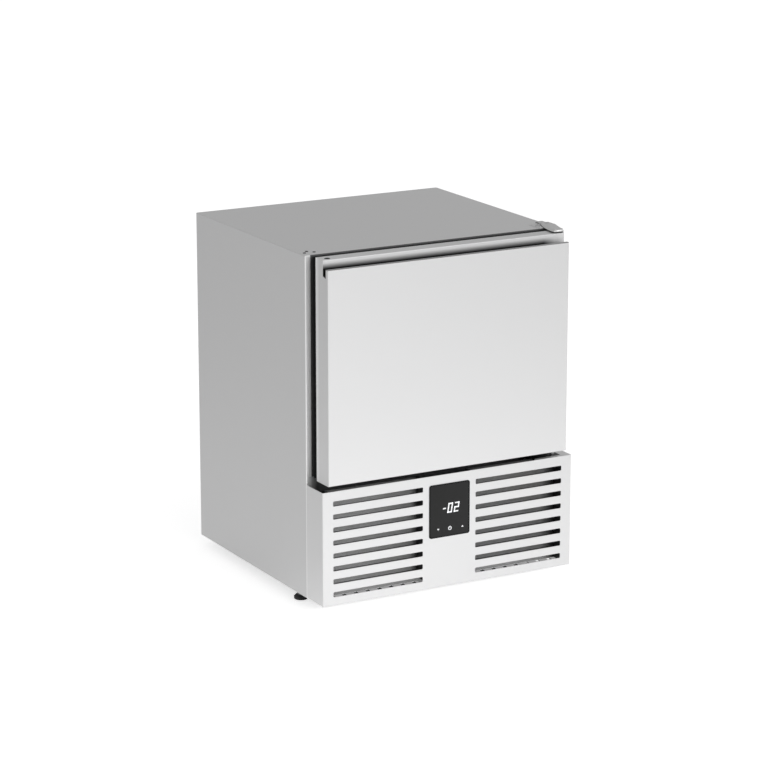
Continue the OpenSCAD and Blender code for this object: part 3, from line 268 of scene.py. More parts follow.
def doorColours(finish, colour, shade):
    x, y, z = finish.axes()
    faceX = finish.facing()[0]
    # painted shade: the sides of door and front panel are darker than their front
    shadedSide = abs(faceX) > doorTone["shadedSide"]
    shadedSideColour = finish.blend(shade, *tones(steelSheet["shadedSide"], *steelGrain["spread"]))
    colour = finish.blend(shadedSide, colour, shadedSideColour)
    # painted highlight along the side's rear edge, where the skin is folded in
    edgeHighlight = shadedSide * finish.ramp(y, *doorTone["edgeHighlight"]) * (z > doorTone["bottom"])
    colour = finish.blend(edgeHighlight, colour, steelSheet["edgeHighlightColour"])
    # painted shade in the grip's hollow: its wall fades upwards into bare steel, and the shade fades towards
    # the hollow's open right end
    hollow = (y > grip["lipBack"]) * (y < grip["behind"]) * (z > grip["floor"])
    hollow = hollow * (abs(faceX) < grip["facing"])
    hollowShade = hollow * (1 - finish.ramp(z, *grip["hollowShade"]))
    hollowShade = hollowShade * (1 - finish.ramp(x, *grip["fade"]) * grip["faded"])
    colour = finish.blend(hollowShade, colour, steelSheet["paintedShade"])
    # painted shade on the lip's top face
    lip = (z > grip["lip"][0]) * (z < grip["lip"][1]) * (y < grip["lipEnd"])
    return finish.blend(lip, colour, steelSheet["lipTop"])


def floorColours(finish, colour):  # painted light: the front panel's floor is pale, bare and glows; painted shade round its holes
    x, y, z = finish.axes()
    floor = (z < ground["top"]) * (y > ground["front"])
    along = finish.remainder(x + ground["holeStart"], ground["holePitch"])
    # painted shade round each hole
    holeShade = abs(along - ground["holePitch"] / 2) < ground["halfWide"]
    holeShade = holeShade * (abs(y - ground["holeY"]) < ground["halfDeep"]) * floor
    floor = floor * (1 - holeShade * ground["holeShare"])
    colour = finish.blend(holeShade, colour, steelSheet["paintedShade"])
    # painted light on the floor: less metallic, pale and glowing
    finish.set(metallic=steelGrain["metallic"] - floor * ground["metallicDrop"])
    finish.shine(finish.blend(floor, (0, 0, 0), steelSheet["floorLight"]), ground["glow"])
    return finish.blend(floor, colour, steelSheet["floorLight"])


def frameColours(finish, colour):
    x, y, z = finish.axes()
    front = y < flange["depth"]
    # painted highlight along the shell's front folds
    colour = finish.blend((abs(x) > flange["paintedHighlight"]) * front, colour, steelSheet["paintedHighlight"])
    # painted shade: the frame's face is dark where the seal closes on it and the door shades it, and fades to
    # bare steel below
    sealShade = (abs(x) < flange["paintedHighlight"]) * (z > flange["shadeFrom"])
    shadeBelow = (z < flange["shadeFrom"]) * (1 - finish.ramp(abs(x), *flange["under"]))
    return finish.blend(finish.larger(sealShade, shadeBelow) * front, colour, steelSheet["frameShade"])


def brushedSteel(name):
    sheet, grains = steelSheet[name], steelGrain
    finish = Finish(name, metallic=grains["metallic"])
    slow, fine = grains["length"], grains["fine"]
    onTop = {"across": (slow, fine, slow), "along": (fine, slow, slow)}
    x, y, z = finish.axes()
    faceX, faceY, faceZ = finish.facing()
    level = abs(faceZ) > grains["level"]
    if sheet["grain"] in onTop:
        upright = finish.noise(*grains["lines"], (slow, slow, fine))  # its lines run level
        grain = finish.mixValue(level, upright, finish.noise(*grains["lines"], onTop[sheet["grain"]]))
    else:
        grain = finish.noise(*grains["dots"])
    broad = finish.noise(*grains["broad"])
    marks = finish.ramp(finish.noise(*grains["marks"]), *grains["marksShown"])
    shade = (grain - 0.5) * grains["grainTone"] + (broad - 0.5) * grains["broadTone"] + 0.5
    if name == "doorSteel":
        # painted light and shade: brighter to the left and downwards, the front panel darker
        shade = shade + (doorTone["middle"] - x - z) * doorTone["slope"]
        shade = shade - (z < doorTone["bottom"]) * doorTone["panelDrop"]
    if name == "cabinetSteel":
        # painted shade on the upright faces
        slope = (z - cabinetTone["level"]) * cabinetTone["slope"] - cabinetTone["drop"]
        shade = shade + slope * (1 - level)
    colour = finish.blend(shade, *tones(sheet["colour"], *grains["spread"]))
    if name == "doorSteel":
        colour = floorColours(finish, doorColours(finish, colour, shade))
    if name == "lowHingeSteel":  # painted shade under the door: dark round the pin, bare along its front and at its right end
        shadedLeaf = (y > leafShadeBounds["front"]) * (x < leafShadeBounds["right"])
        colour = finish.blend(shadedLeaf, colour, steelSheet["leafShade"])
    if name == "hingeSteel":
        # painted highlight on the hinge's front faces
        colour = finish.blend(faceY < -0.5, colour, steelSheet["paintedHighlight"])
    if name == "cabinetSteel":
        colour = frameColours(finish, colour)
    rough = (grain - 0.5) * grains["grainRough"] + marks * grains["marksRough"]
    rough = rough + (broad - 0.5) * grains["broadRough"] + sheet["roughness"]
    dents = finish.bump(finish.noise(*grains["dents"]), grains["dentDepth"])
    normal = finish.bump(grain, grains["depth"], grains["relief"], dents)
    finish.set(colour=colour, roughness=rough, normal=normal)
    return finish.material


mesh = {
    "thread": 0.0016, "dust": (40, 5, 0.7), "dustRough": 0.2, "rough": 0.55, "relief": (0.0003, 0.6),
    "leftTones": (0.73, 0.52),  # painted shade, from the filter's left to its right
    "leftSpan": (-0.26, -0.09), "leftFade": (-0.077, -0.061), "rightTones": (0.47, 0.39),
    "rightSpan": (0.08, 0.24), "rightFade": (0.243, 0.274), "rimTone": 0.76, "rimTop": 0.0435,
    "topRim": 0.2585, "topDrop": 0.6, "slatShadowStart": 0.0177, "slatShadowPitch": 0.0279,
    "slatShadow": (0.0128, 0.0152), "slatShadowDrop": 0.7, "holes": (0.25, 0.9), "holeColour": (0.3, 0.3, 0.3),
    "threads": ((0.82, 0.82, 0.82), (0.98, 0.98, 0.98)), "shadow": (0.012, 0.012, 0.012),
}


def filterMesh():  # fine woven mesh in a frame, with painted shade and painted slat shadows across it
    finish = Finish("filterMesh", metallic=0.4, specular=0.3)
    x, y, z = finish.axes()
    warp, weft = (finish.wave(axis, mesh["thread"]) for axis in (x, z))
    holes = finish.ramp(abs(warp) + abs(weft), *mesh["holes"])
    dust = finish.noise(*mesh["dust"])
    levels = []
    # painted shade: lighter at each block's left end, darker towards its right end
    for side in ("left", "right"):
        level = finish.mixValue(finish.ramp(x, *mesh[side + "Span"]), *mesh[side + "Tones"])
        levels.append(level * (1 - finish.ramp(x, *mesh[side + "Fade"])))
    level = finish.mixValue(x > 0, *levels)
    # painted slat shadows across at the slots' pitch and painted shade on the top rim; the lower rim has its
    # own even level
    along = finish.remainder(z - mesh["slatShadowStart"], mesh["slatShadowPitch"])
    slatShadow = (along > mesh["slatShadow"][0]) * (along < mesh["slatShadow"][1]) * (z > mesh["rimTop"])
    level = level * (1 - slatShadow * mesh["slatShadowDrop"]) * (1 - (z > mesh["topRim"]) * mesh["topDrop"])
    rim = (z < mesh["rimTop"]) * (1 - finish.ramp(x, *mesh["rightFade"]))
    level = finish.mixValue(rim, level, mesh["rimTone"])
    colour = finish.blend(holes, mesh["holeColour"], finish.blend(dust, *mesh["threads"]))
    colour = finish.blend(level, mesh["shadow"], colour)
    rough = dust * mesh["dustRough"] + mesh["rough"]
    finish.set(colour=colour, roughness=rough, normal=finish.bump(warp * weft, *mesh["relief"]))
    return finish.material


coil = {
    "patina": (38, 5, 0.65), "patinaShown": (0.5, 0.72), "patinaRough": 0.25, "copperRough": 0.28,
    "copper": ((0.7, 0.35, 0.21), (0.36, 0.17, 0.1)), "dust": (28, 4), "dustRough": 0.2,
    "finRough": 0.3, "fins": ((0.55, 0.56, 0.57), (0.74, 0.75, 0.76)), "relief": (500, 2),
    "depth": 0.00005, "evaporatorHalf": 0.2,
}


def coilMetal(name, low, high):  # bright fins between the end plates, copper bends outside them
    finish = Finish(name, metallic=0.9)
    x, y, z = finish.axes()
    outside = (x < low) + (x > high)
    patina = finish.ramp(finish.noise(*coil["patina"]), *coil["patinaShown"])
    dust = finish.noise(*coil["dust"])
    fins = finish.blend(dust, *coil["fins"])
    finRough = dust * coil["dustRough"] + coil["finRough"]
    copperRough = patina * coil["patinaRough"] + coil["copperRough"]
    finish.set(
        colour=finish.blend(outside, fins, finish.blend(patina, *coil["copper"])),
        roughness=finish.mixValue(outside, finRough, copperRough),
        normal=finish.bump(finish.noise(*coil["relief"]), coil["depth"]),
    )
    return finish.material


foot = {
    "studFrom": 0.0102, "skin": 1400,
    "colours": ((0.012, 0.012, 0.013), (0.5, 0.5, 0.51)),  # plastic, stud
    "metallic": 0.9, "rough": 0.45, "skinRough": 0.1, "studGloss": 0.12, "thread": 0.0015,
    "skinRelief": 0.1, "depth": 0.0003,
}


def footPlastic():
    finish = Finish("footPlastic")
    x, y, z = finish.axes()
    stud = z > foot["studFrom"]
    skin = finish.cells(foot["skin"])
    thread = finish.wave(z, foot["thread"])
    finish.set(
        colour=finish.blend(stud, *foot["colours"]),
        metallic=stud * foot["metallic"],
        roughness=skin * foot["skinRough"] + foot["rough"] - stud * foot["studGloss"],
        normal=finish.bump(thread * stud + skin * foot["skinRelief"], foot["depth"]),
    )
    return finish.material


# plain finishes: a tint blends two colours, "shown" is the part of it that counts, and "rough" the
# least roughness with the shares of tint and relief
moulded = {"tint": (9, 3), "cells": 1400, "depth": 0.00004}
blackMoulded = moulded | {"colours": tones((0.014, 0.014, 0.015), 0.85, 1.18), "rough": (0.41, 0.12, 0.1)}
enamel = {
    "metallic": 0.25, "tint": (44, 6, 0.75), "shown": (0.6, 0.8), "relief": (260, 2), "depth": 0.00012,
}
membrane = {"tint": (20, 3), "relief": (1600, 2), "depth": 0.00002}
litMark = {  # milky plastic of the lit segments and touch marks
    "specular": 0.3, "tint": (400, 2), "rough": (0.4, 0.1, 0),
    "colours": ((0.86, 0.87, 0.88), (0.97, 0.97, 0.98)),
}
plainFinishes = {
    "zincSheet": {
        "metallic": 0.85, "flakes": 70, "colours": tones((0.6, 0.61, 0.62), 0.91, 1.07),
        "rough": (0.34, 0.16, 0), "relief": (420, 3), "depth": 0.00004,
    },
    "screwZinc": {
        "metallic": 0.9, "tint": (60, 4), "colours": tones((0.56, 0.56, 0.57), 0.86, 1.1),
        "rough": (0.23, 0.18, 0), "relief": (700, 2), "depth": 0.00003,
    },
    "copperLine": {
        "metallic": 0.9, "tint": (38, 5, 0.65), "shown": (0.5, 0.72),
        "colours": ((0.72, 0.36, 0.22), (0.36, 0.17, 0.1)),
        "rough": (0.28, 0.25, 0), "relief": (300, 3), "depth": 0.00005,
    },
    "blackPlastic": blackMoulded,
    # black, which also stands as painted shade at the slots' right ends
    "guidePlastic": blackMoulded | {"strip": (mesh["rimTop"], (0.6, 0.6, 0.6))},
    "breakerPlastic": moulded | {
        "cells": 1800, "colours": tones((0.022, 0.022, 0.024), 0.85, 1.18), "rough": (0.33, 0.12, 0.1),
    },
    "linerPlastic": {
        "specular": 0.45, "tint": (5, 2), "colours": ((0.78, 0.78, 0.765), (0.86, 0.86, 0.85)),
        "rough": (0.29, 0.08, 0), "relief": (240, 2), "depth": 0.00006,
    },
    "rigidFoam": {
        "specular": 0.2, "tint": (14, 4), "colours": ((0.74, 0.62, 0.34), (0.86, 0.77, 0.5)),
        "rough": (0.75, 0, 0.2), "cells": 520, "depth": 0.0003,
    },
    "sealRubber": {
        "specular": 0.15, "tint": (30, 5, 0.7), "shown": (0.5, 0.85),
        "colours": ((0.011, 0.011, 0.012), (0.02, 0.02, 0.02)),
        "rough": (0.65, 0.15, 0), "relief": (700, 2), "depth": 0.00005,
    },
    "blackEnamel": enamel | {"colours": tones((0.018, 0.018, 0.02), 1, 1.9), "rough": (0.32, 0.2, 0)},
    "railPaint": enamel | {"colours": tones((0.11, 0.11, 0.112), 1, 1.9), "rough": (0.45, 0.2, 0)},
    "motorPaint": enamel | {"colours": tones((0.07, 0.072, 0.078), 1, 1.9), "rough": (0.42, 0.2, 0)},
    "coatedWire": {
        "metallic": 0.1, "specular": 0.55, "tint": (18, 3), "colours": ((0.7, 0.7, 0.69), (0.82, 0.82, 0.81)),
        "rough": (0.225, 0.15, 0), "relief": (500, 2), "depth": 0.00006,
    },
    "fasciaRim": membrane | {
        "specular": 0.2, "colours": tones((0.01, 0.01, 0.01), 0.92, 1.08), "rough": (0.47, 0.06, 0),
    },
    "fasciaWindow": membrane | {
        "specular": 0.25, "colours": tones((0.02, 0.02, 0.02), 0.92, 1.08), "rough": (0.37, 0.06, 0),
    },
    "litMark": litMark | {"glow": 0.35},
    "touchMark": litMark | {"glow": 0.6},
}


def plainFinish(name, values):
    finish = Finish(name, values.get("metallic", 0.0), values.get("specular", 0.5))
    if "flakes" in values:
        flakes = finish.cells(values["flakes"], "Color")
        tint = finish.node("ShaderNodeSeparateColor", feeds={0: flakes})
    else:
        tint = finish.noise(*values["tint"])
    if "shown" in values:
        tint = finish.ramp(tint, *values["shown"])
    colour = finish.blend(tint, *values["colours"])
    if "strip" in values:  # a paler strip along the bottom of the left block
        x, y, z = finish.axes()
        top, pale = values["strip"]
        colour = finish.blend((z < top) * (x < 0), colour, pale)
    least, tintShare, reliefShare = values["rough"]
    rough = tint * tintShare + least
    if "depth" in values:
        relief = finish.cells(values["cells"]) if "cells" in values else finish.noise(*values["relief"])
        finish.set(normal=finish.bump(relief, values["depth"]))
        if reliefShare:
            rough = rough + relief * reliefShare
    finish.set(colour=colour, roughness=rough)
    if "glow" in values:
        finish.shine(colour, values["glow"])
    return finish.material


condenserLow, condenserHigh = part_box("condenser_shroud")
finishes = {name: brushedSteel(name) for name in ("cabinetSteel", "doorSteel", "hingeSteel", "lowHingeSteel")}
finishes |= {name: plainFinish(name, values) for name, values in plainFinishes.items()}
finishes |= {
    "filterMesh": filterMesh(),
    "condenserMetal": coilMetal("condenserMetal", condenserLow.x, condenserHigh.x),
    "evaporatorMetal": coilMetal("evaporatorMetal", -coil["evaporatorHalf"], coil["evaporatorHalf"]),
    "footPlastic": footPlastic(),
}
print("finishes made:", len(finishes))

nodeFinish = {
    "cabinetSteel": ["outer_shell"],
    "doorSteel": ["door_skin", "grille_panel"],
    "hingeSteel": ["top_hinge_plate", "top_hinge_pin", "bottom_hinge_pin", "shelf_runners"],
    "lowHingeSteel": ["bottom_hinge_plate"],
    "zincSheet": ["back_panel", "compartment_ceiling", "base_tray", "condenser_shroud"],
    "screwZinc": [
        "hinge_screws", "panel_screws", "back_panel_screws", "foot_sockets", "compressor_bolts",
        "condenser_fan_bracket", "evaporator_fan_bracket",
    ],
    "copperLine": ["discharge_line", "capillary_line", "suction_line", "filter_drier"],
    "guidePlastic": ["filter_guides"],
    "blackPlastic": [
        "controller_housing", "compressor_terminal_cover", "evaporation_tray",
        "temperature_probe", "power_inlet", "condenser_fan", "evaporator_fan", "door_hinge_bushes",
    ],
    "breakerPlastic": ["breaker_frame"],
    "linerPlastic": ["inner_liner", "evaporator_cover", "door_liner", "drain_tube"],
    "rigidFoam": ["wall_insulation", "door_insulation"],
    "sealRubber": ["door_gasket", "compressor_mounts"],
    "filterMesh": ["vent_filters"],
    "condenserMetal": ["condenser_coil"],
    "evaporatorMetal": ["evaporator_coil"],
    "blackEnamel": ["compressor"],
    "railPaint": ["front_rail"],
    "motorPaint": ["condenser_fan_motor", "evaporator_fan_motor"],
    "coatedWire": ["upper_shelf", "lower_shelf"],
    "footPlastic": ["foot_front_left", "foot_front_right", "foot_rear_left", "foot_rear_right"],
    "fasciaRim": ["control_fascia"],
}


def dressNodes():
    for finish, nodes in nodeFinish.items():
        for node in nodes:
            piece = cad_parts[node]
            if not piece.material_slots:
                piece.data.materials.append(finishes[finish])
            for place in piece.material_slots:
                place.material = finishes[finish]


dressNodes()
print("nodes dressed")

toFront, toBack, toDown = Vector((0, -1, 0)), Vector((0, 1, 0)), Vector((0, 0, -1))
tiny = 0.00001  # places this close together are the same


def pickPiece(piece):
    bpy.ops.object.select_all(action="DESELECT")
    piece.select_set(True)
    bpy.context.view_layer.objects.active = piece


def asMade(name, scale=None):  # the fresh primitive under its own name, with its transforms applied
    piece = bpy.context.object
    piece.name = name
    if scale:
        piece.scale = scale
    bpy.ops.object.transform_apply(location=True, rotation=True, scale=True)
    return piece


def startBox(name, low, high):
    low, high = Vector(low), Vector(high)
    bpy.ops.mesh.primitive_cube_add(size=1, location=(low + high) / 2)
    return asMade(name, high - low)


def startRound(name, place, radius, depth):
    bpy.ops.mesh.primitive_cylinder_add(vertices=32, radius=radius, depth=depth, location=place)
    return asMade(name)


def openMesh(piece):
    pickPiece(piece)
    bpy.ops.object.mode_set(mode="EDIT")
    bpy.ops.mesh.select_mode(type="FACE")
    pickNone()


def closeMesh():
    bpy.ops.object.mode_set(mode="OBJECT")


def pick(piece, kind, test):
    bpy.ops.mesh.select_mode(type=kind)
    pickNone()
    work = bmesh.from_edit_mesh(piece.data)
    for part in {"FACE": work.faces, "EDGE": work.edges, "VERT": work.verts}[kind]:
        part.select_set(bool(test(part)))
    if kind == "VERT":
        work.select_flush_mode()
    bmesh.update_edit_mesh(piece.data)


def pickFaces(piece, test):
    pick(piece, "FACE", lambda face: test(face.calc_center_median(), face.normal))


def pickFacing(piece, way):
    pickFaces(piece, lambda place, normal: normal.dot(way) > 0.9)


def pickEdges(piece, test):
    pick(piece, "EDGE", lambda edge: test(*(corner.co for corner in edge.verts)))


def pickPoints(piece, test):
    pick(piece, "VERT", lambda corner: test(corner.co))


def pickNone():
    bpy.ops.mesh.select_all(action="DESELECT")


def pickAll():
    bpy.ops.mesh.select_all(action="SELECT")


def bevel(width, segments):
    bpy.ops.mesh.bevel(offset=width, segments=segments, affect="EDGES")


def bevelDeepEdges(piece, width, segments):  # the edges that run from front to back
    pickEdges(piece, lambda a, b: abs(a.y - b.y) > tiny)
    bevel(width, segments)


def inset(thickness, depth=0):
    bpy.ops.mesh.inset(thickness=thickness, depth=depth)


def extrude(x, y, z):
    bpy.ops.mesh.extrude_region_move(TRANSFORM_OT_translate={"value": (x, y, z)})


def slide(far):  # along X
    bpy.ops.transform.translate(value=(far, 0, 0))


def faceOutwards():
    pickAll()
    bpy.ops.mesh.normals_make_consistent(inside=False)


def smooth(piece, angle=35):
    pickPiece(piece)
    bpy.ops.object.shade_smooth_by_angle(angle=math.radians(angle))


def modify(piece, kind, **settings):  # a modifier with these settings, applied
    made = piece.modifiers.new(kind, kind)
    for key, value in settings.items():
        setattr(made, key, value)
    pickPiece(piece)
    bpy.ops.object.modifier_apply(modifier=made.name)


def soften(piece, width, angle):
    limit = math.radians(angle)
    modify(piece, "BEVEL", width=width, segments=2, limit_method="ANGLE", angle_limit=limit)


def bite(piece, cutter):
    modify(piece, "BOOLEAN", operation="DIFFERENCE", object=cutter, solver="EXACT")
    bpy.data.objects.remove(cutter, do_unlink=True)


def settle(piece, finish, body="cabinet"):
    piece.data.materials.clear()
    piece.data.materials.append(finishes[finish])
    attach(piece, body)


def joined(name, parts):
    pickPiece(parts[0])
    for part in parts:
        part.select_set(True)
    if len(parts) > 1:
        bpy.ops.object.join()
    parts[0].name = name
    return parts[0]


def scatter(shape, name, matrices):  # a copy with its own mesh at each place
    copies = []
    for matrix in matrices:
        twin = shape.copy()
        twin.data = shape.data.copy()
        twin.data.transform(matrix)
        bpy.context.scene.collection.objects.link(twin)
        copies.append(twin)
    bpy.data.objects.remove(shape, do_unlink=True)
    return joined(name, copies)


fascia = {
    "rim": 0.0022,  # width of the darker border
    "outerLine": 0.0003, "innerLine": 0.0002, "corner": 0.005,
    "sink": 0.0004,  # how deep the window lies behind the border
    "flange": 0.001, "plugInset": 0.0033, "gap": 0.0006, "windowProud": 0.00012,
    "windowThick": 0.0006, "windowEdge": (0.0004, 0.00006),
}


def makeFascia():
    low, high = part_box("control_fascia")
    piece = startBox("fasciaBezel", low, (high.x, low.y + fascia["flange"], high.z))
    openMesh(piece)
    bevelDeepEdges(piece, fascia["corner"], 6)
    pickFacing(piece, toFront)
    inset(fascia["outerLine"])
    inset(fascia["rim"])
    inset(fascia["innerLine"], -fascia["sink"])
    pickFacing(piece, toBack)
    inset(fascia["plugInset"])
    extrude(0, high.y - low.y - fascia["flange"], 0)
    closeMesh()
    smooth(piece, 30)
    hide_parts("control_fascia")
    settle(piece, "fasciaRim")

    edge = fascia["rim"] + fascia["gap"]
    faceY = low.y + fascia["sink"] - fascia["windowProud"]
    window = startBox(
        "fasciaWindow", (low.x + edge, faceY, low.z + edge),
        (high.x - edge, faceY + fascia["windowThick"], high.z - edge),
    )
    openMesh(window)
    bevelDeepEdges(window, fascia["corner"] - edge, 5)
    pickFacing(window, toFront)
    inset(*fascia["windowEdge"])
    closeMesh()
    smooth(window, 30)
    settle(window, "fasciaWindow")
    return faceY


display = {
    "digitHeight": 0.0214, "digitWidth": 0.0113, "stroke": 0.0030, "slant": 0.16, "baseZ": 0.1829,
    "zeroX": 0.0014, "twoX": 0.0170, "minusX": -0.0124, "minusWidth": 0.0072, "proud": 0.00012,
    "sunk": 0.0002, "rounding": 0.3, "crown": (0.0002, 0.00003),
    "zero": ["top", "bottom", "upperLeft", "upperRight", "lowerLeft", "lowerRight"],
    "two": ["top", "middle", "bottom", "upperRight", "lowerLeft"],
}


def segment(name, centre, length, upright, faceY):
    half, stroke = length / 2, display["stroke"] / 2
    size = (stroke, half) if upright else (half, stroke)
    low = (centre[0] - size[0], faceY - display["proud"], centre[1] - size[1])
    high = (centre[0] + size[0], faceY + display["sunk"], centre[1] + size[1])
    piece = startBox(name, low, high)
    openMesh(piece)
    bevelDeepEdges(piece, display["stroke"] * display["rounding"], 3)
    pickFacing(piece, toFront)
    inset(*display["crown"])
    closeMesh()
    return piece


def makeDigit(name, faceY):
    middle = display[name + "X"]
    width, height = display["digitWidth"], display["digitHeight"]
    stroke, base = display["stroke"], display["baseZ"]
    levels = {"top": height - stroke / 2, "middle": height / 2, "bottom": stroke / 2}
    places = {row: ((middle, base + z), width, False) for row, z in levels.items()}
    for side, x in (("Left", middle - (width - stroke) / 2), ("Right", middle + (width - stroke) / 2)):
        for half, z in (("upper", height * 0.75 - stroke / 4), ("lower", height * 0.25 + stroke / 4)):
            places[half + side] = ((x, base + z), (height + stroke) / 2, True)
    return [segment(name + part, *places[part], faceY) for part in display[name]]


def makeDisplay(faceY):
    middleZ = display["baseZ"] + display["digitHeight"] / 2
    digits = makeDigit("zero", faceY) + makeDigit("two", faceY)
    minus = segment("minus", (display["minusX"], middleZ), display["minusWidth"], False, faceY)
    piece = joined("displayDigits", digits + [minus])
    # lean the characters to the right about their middle height
    lean = Matrix.Identity(4)
    lean[0][2] = display["slant"]
    lean[0][3] = -display["slant"] * middleZ
    piece.data.transform(lean)
    settle(piece, "litMark")


keys = {
    "z": 0.1492,
    "down": (-0.0271, 0.0009),  # place along X, and how much higher than the ring
    "up": (0.0315, -0.0005), "powerX": 0.0011, "size": 0.0029, "stretch": (1.08, 0.85, 1),
    "ring": 0.0035, "line": 0.0016, "ringFlat": (1, 1, 0.3),
    "gapFrom": 0.6,  # share of the ring's radius
    "gapHalf": 0.0017, "barFrom": 0.0004, "barPast": 0.0012, "barSunk": 0.0001, "barRounding": 0.8,
}


def makeKeys(faceY):
    parts = []
    for (x, higher), angle in ((keys["down"], math.pi), (keys["up"], 0)):
        bpy.ops.mesh.primitive_circle_add(
            vertices=3, radius=keys["size"], fill_type="NGON",
            location=(x, faceY, keys["z"] + higher), rotation=(math.pi / 2, angle, 0),
        )
        piece = asMade("keyArrow", keys["stretch"])
        openMesh(piece)
        pickAll()
        extrude(0, -display["proud"], 0)
        faceOutwards()
        closeMesh()
        parts.append(piece)
    stroke = keys["line"] / 2
    bpy.ops.mesh.primitive_torus_add(
        major_radius=keys["ring"], minor_radius=stroke, major_segments=32, minor_segments=8,
        location=(keys["powerX"], faceY, keys["z"]), rotation=(math.pi / 2, 0, 0),
    )
    ring = asMade("keyRing", keys["ringFlat"])
    openMesh(ring)
    top = keys["z"] + keys["ring"] * keys["gapFrom"]
    pickFaces(ring, lambda place, normal: place.z > top and abs(place.x - keys["powerX"]) < keys["gapHalf"])
    bpy.ops.mesh.delete(type="FACE")
    pickNone()
    bpy.ops.mesh.select_mode(type="EDGE")
    bpy.ops.mesh.select_non_manifold()
    bpy.ops.mesh.edge_face_add()
    closeMesh()
    bar = startBox(
        "keyPowerBar", (keys["powerX"] - stroke, faceY - display["proud"], keys["z"] + keys["barFrom"]),
        (keys["powerX"] + stroke, faceY + keys["barSunk"], keys["z"] + keys["ring"] + keys["barPast"]),
    )
    openMesh(bar)
    bevelDeepEdges(bar, stroke * keys["barRounding"], 3)
    closeMesh()
    settle(joined("touchKeys", parts + [ring, bar]), "touchMark")


seal = {
    "width": 0.027,
    "foot": 0.0045,  # thickness of the flange in the door
    "footStep": 0.0012,
    "shoulder": (0.0035, 0.0020),  # how far in and how far up the crown's first slope goes
    "crown": (0.0063, 0.00115), "margin": 0.0005, "ledge": 0.0016, "grooveEdge": 0.0008,
    "groove": 0.0022, "rounding": 0.0006,
}


def makeSeal():
    low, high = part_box("door_gasket")
    middle, size = (low + high) / 2, high - low
    place = (middle.x, low.y, middle.z)
    bpy.ops.mesh.primitive_plane_add(size=1, location=place, rotation=(-math.pi / 2, 0, 0))
    piece = asMade("doorSeal", (size.x, size.z, 1))
    openMesh(piece)
    pickAll()
    inset(seal["width"])
    bpy.ops.mesh.delete(type="FACE")
    pickAll()
    extrude(0, seal["foot"], 0)
    inset(seal["footStep"])
    body = size.y - seal["foot"] - seal["shoulder"][1] - seal["crown"][1]
    extrude(0, body, 0)
    # the face leans back towards its edges, so that it clears the frame as it swings
    inset(*seal["shoulder"])
    inset(*seal["crown"])
    sideLow = low.y + seal["foot"] + seal["margin"]
    sideHigh = low.y + seal["foot"] + body - seal["margin"]
    pickFaces(piece, lambda place, normal: abs(normal.y) < 0.1 and sideLow < place.y < sideHigh)
    inset(seal["ledge"])
    inset(seal["grooveEdge"], -seal["groove"])
    faceOutwards()
    closeMesh()
    soften(piece, seal["rounding"], 35)
    smooth(piece, 40)
    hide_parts("door_gasket")
    settle(piece, "sealRubber", "door")


screw = {
    # head's radius and height, length, whether the head is sunk
    "arm": (0.0048, 0.0023, 0.0162, True), "leaf": (0.0048, 0.0018, 0.0133, False),
    "low": (0.0048, 0.0023, 0.0098, True), "panel": (0.004, 0.002, 0.0091, False),
    "back": (0.0044, 0.0018, 0.0098, False), "shank": 0.00245, "tip": 0.0012, "tipShare": 0.7, "taper": 0.6,
    "rounding": 0.6,  # share of a pan head's height
    "recess": 0.0008, "recessLength": 0.0044, "recessDepth": 0.0013, "backMiddle": 0.386,
    "panelTwist": 9, "backTwist": 7,  # turn of a screw for each metre up
    "leafThick": 0.003, "lowDrop": 0.018,
    "lowPlaces": ((leafLow.x + 0.012, 0.2), (leafLow.x + 0.036, 0.9), (0.286, 0.5)),  # x, turn
}
# the top hinge's three screws, from the middle of its plate and the frame's face
hingeHoles = {"left": (-0.011, 0.0245), "right": (0.011, 0.0245), "rear": (0, 0.0365)}


def screwShape(kind):  # head's top at the origin, shank down
    headRadius, headHeight, length, sunk = screw[kind]
    piece = startRound(kind, (0, 0, -headHeight / 2), headRadius, headHeight)
    openMesh(piece)
    if sunk:
        pickFacing(piece, toDown)
        ratio = screw["shank"] / headRadius
        bpy.ops.transform.resize(value=(ratio, ratio, 1))
    else:
        pickEdges(piece, lambda a, b: a.z > -0.0001 and b.z > -0.0001)
        bevel(headHeight * screw["rounding"], 4)
        pickFacing(piece, toDown)
        inset(headRadius - screw["shank"])
    extrude(0, 0, headHeight - length + screw["tip"])
    extrude(0, 0, -screw["tip"])
    bpy.ops.transform.resize(value=(screw["tipShare"], screw["tipShare"], 1))
    closeMesh()
    half, stroke, deep = screw["recessLength"] / 2, screw["recess"] / 2, screw["recessDepth"]
    first = startBox("recessA", (-half, -stroke, -deep), (half, stroke, 0.001))
    second = startBox("recessB", (-stroke, -half, -deep), (stroke, half, 0.001))
    openMesh(second)
    pickFacing(second, toDown)
    bpy.ops.transform.resize(value=(1, screw["taper"], 1))
    closeMesh()
    bite(piece, first)
    bite(piece, second)
    smooth(piece)
    return piece


hinge = {
    # from the back to the front: y, left edge, right edge
    "rows": [
        (-0.186, 0.279, 0.299), (-0.214, 0.2693, 0.299), (-0.224, 0.2666, 0.2965),
        (-0.248, 0.2625, 0.2895), (-0.2715, 0.2607, 0.2862),
    ],
    "nose": 0.009,
    "slope": 0.0028,  # how far the left flank leans in
    "base": 0.001,  # thickness of the thin leaf under the arm
    "baseCorner": 0.0035,
    "baseEdges": (0.0008, 0.002),  # how far in its left and front edges stand
    "baseBack": 0.0006,
    "armDrop": 0.0003,  # the pin's end stands this much above the arm
    "seat": 0.005,
    "tail": (0.2834, -0.161, 0.0018),  # left edge, rear edge and thickness of the leaf behind the arm
    "tailCorner": 0.003, "overlap": 0.002, "rounding": 0.0003, "shimGrow": 0.0008,
    "shimThick": 0.0006, "shimStep": 0.00005,
}
plateLow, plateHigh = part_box("top_hinge_plate")
plateMiddle = (plateLow.x + plateHigh.x) / 2


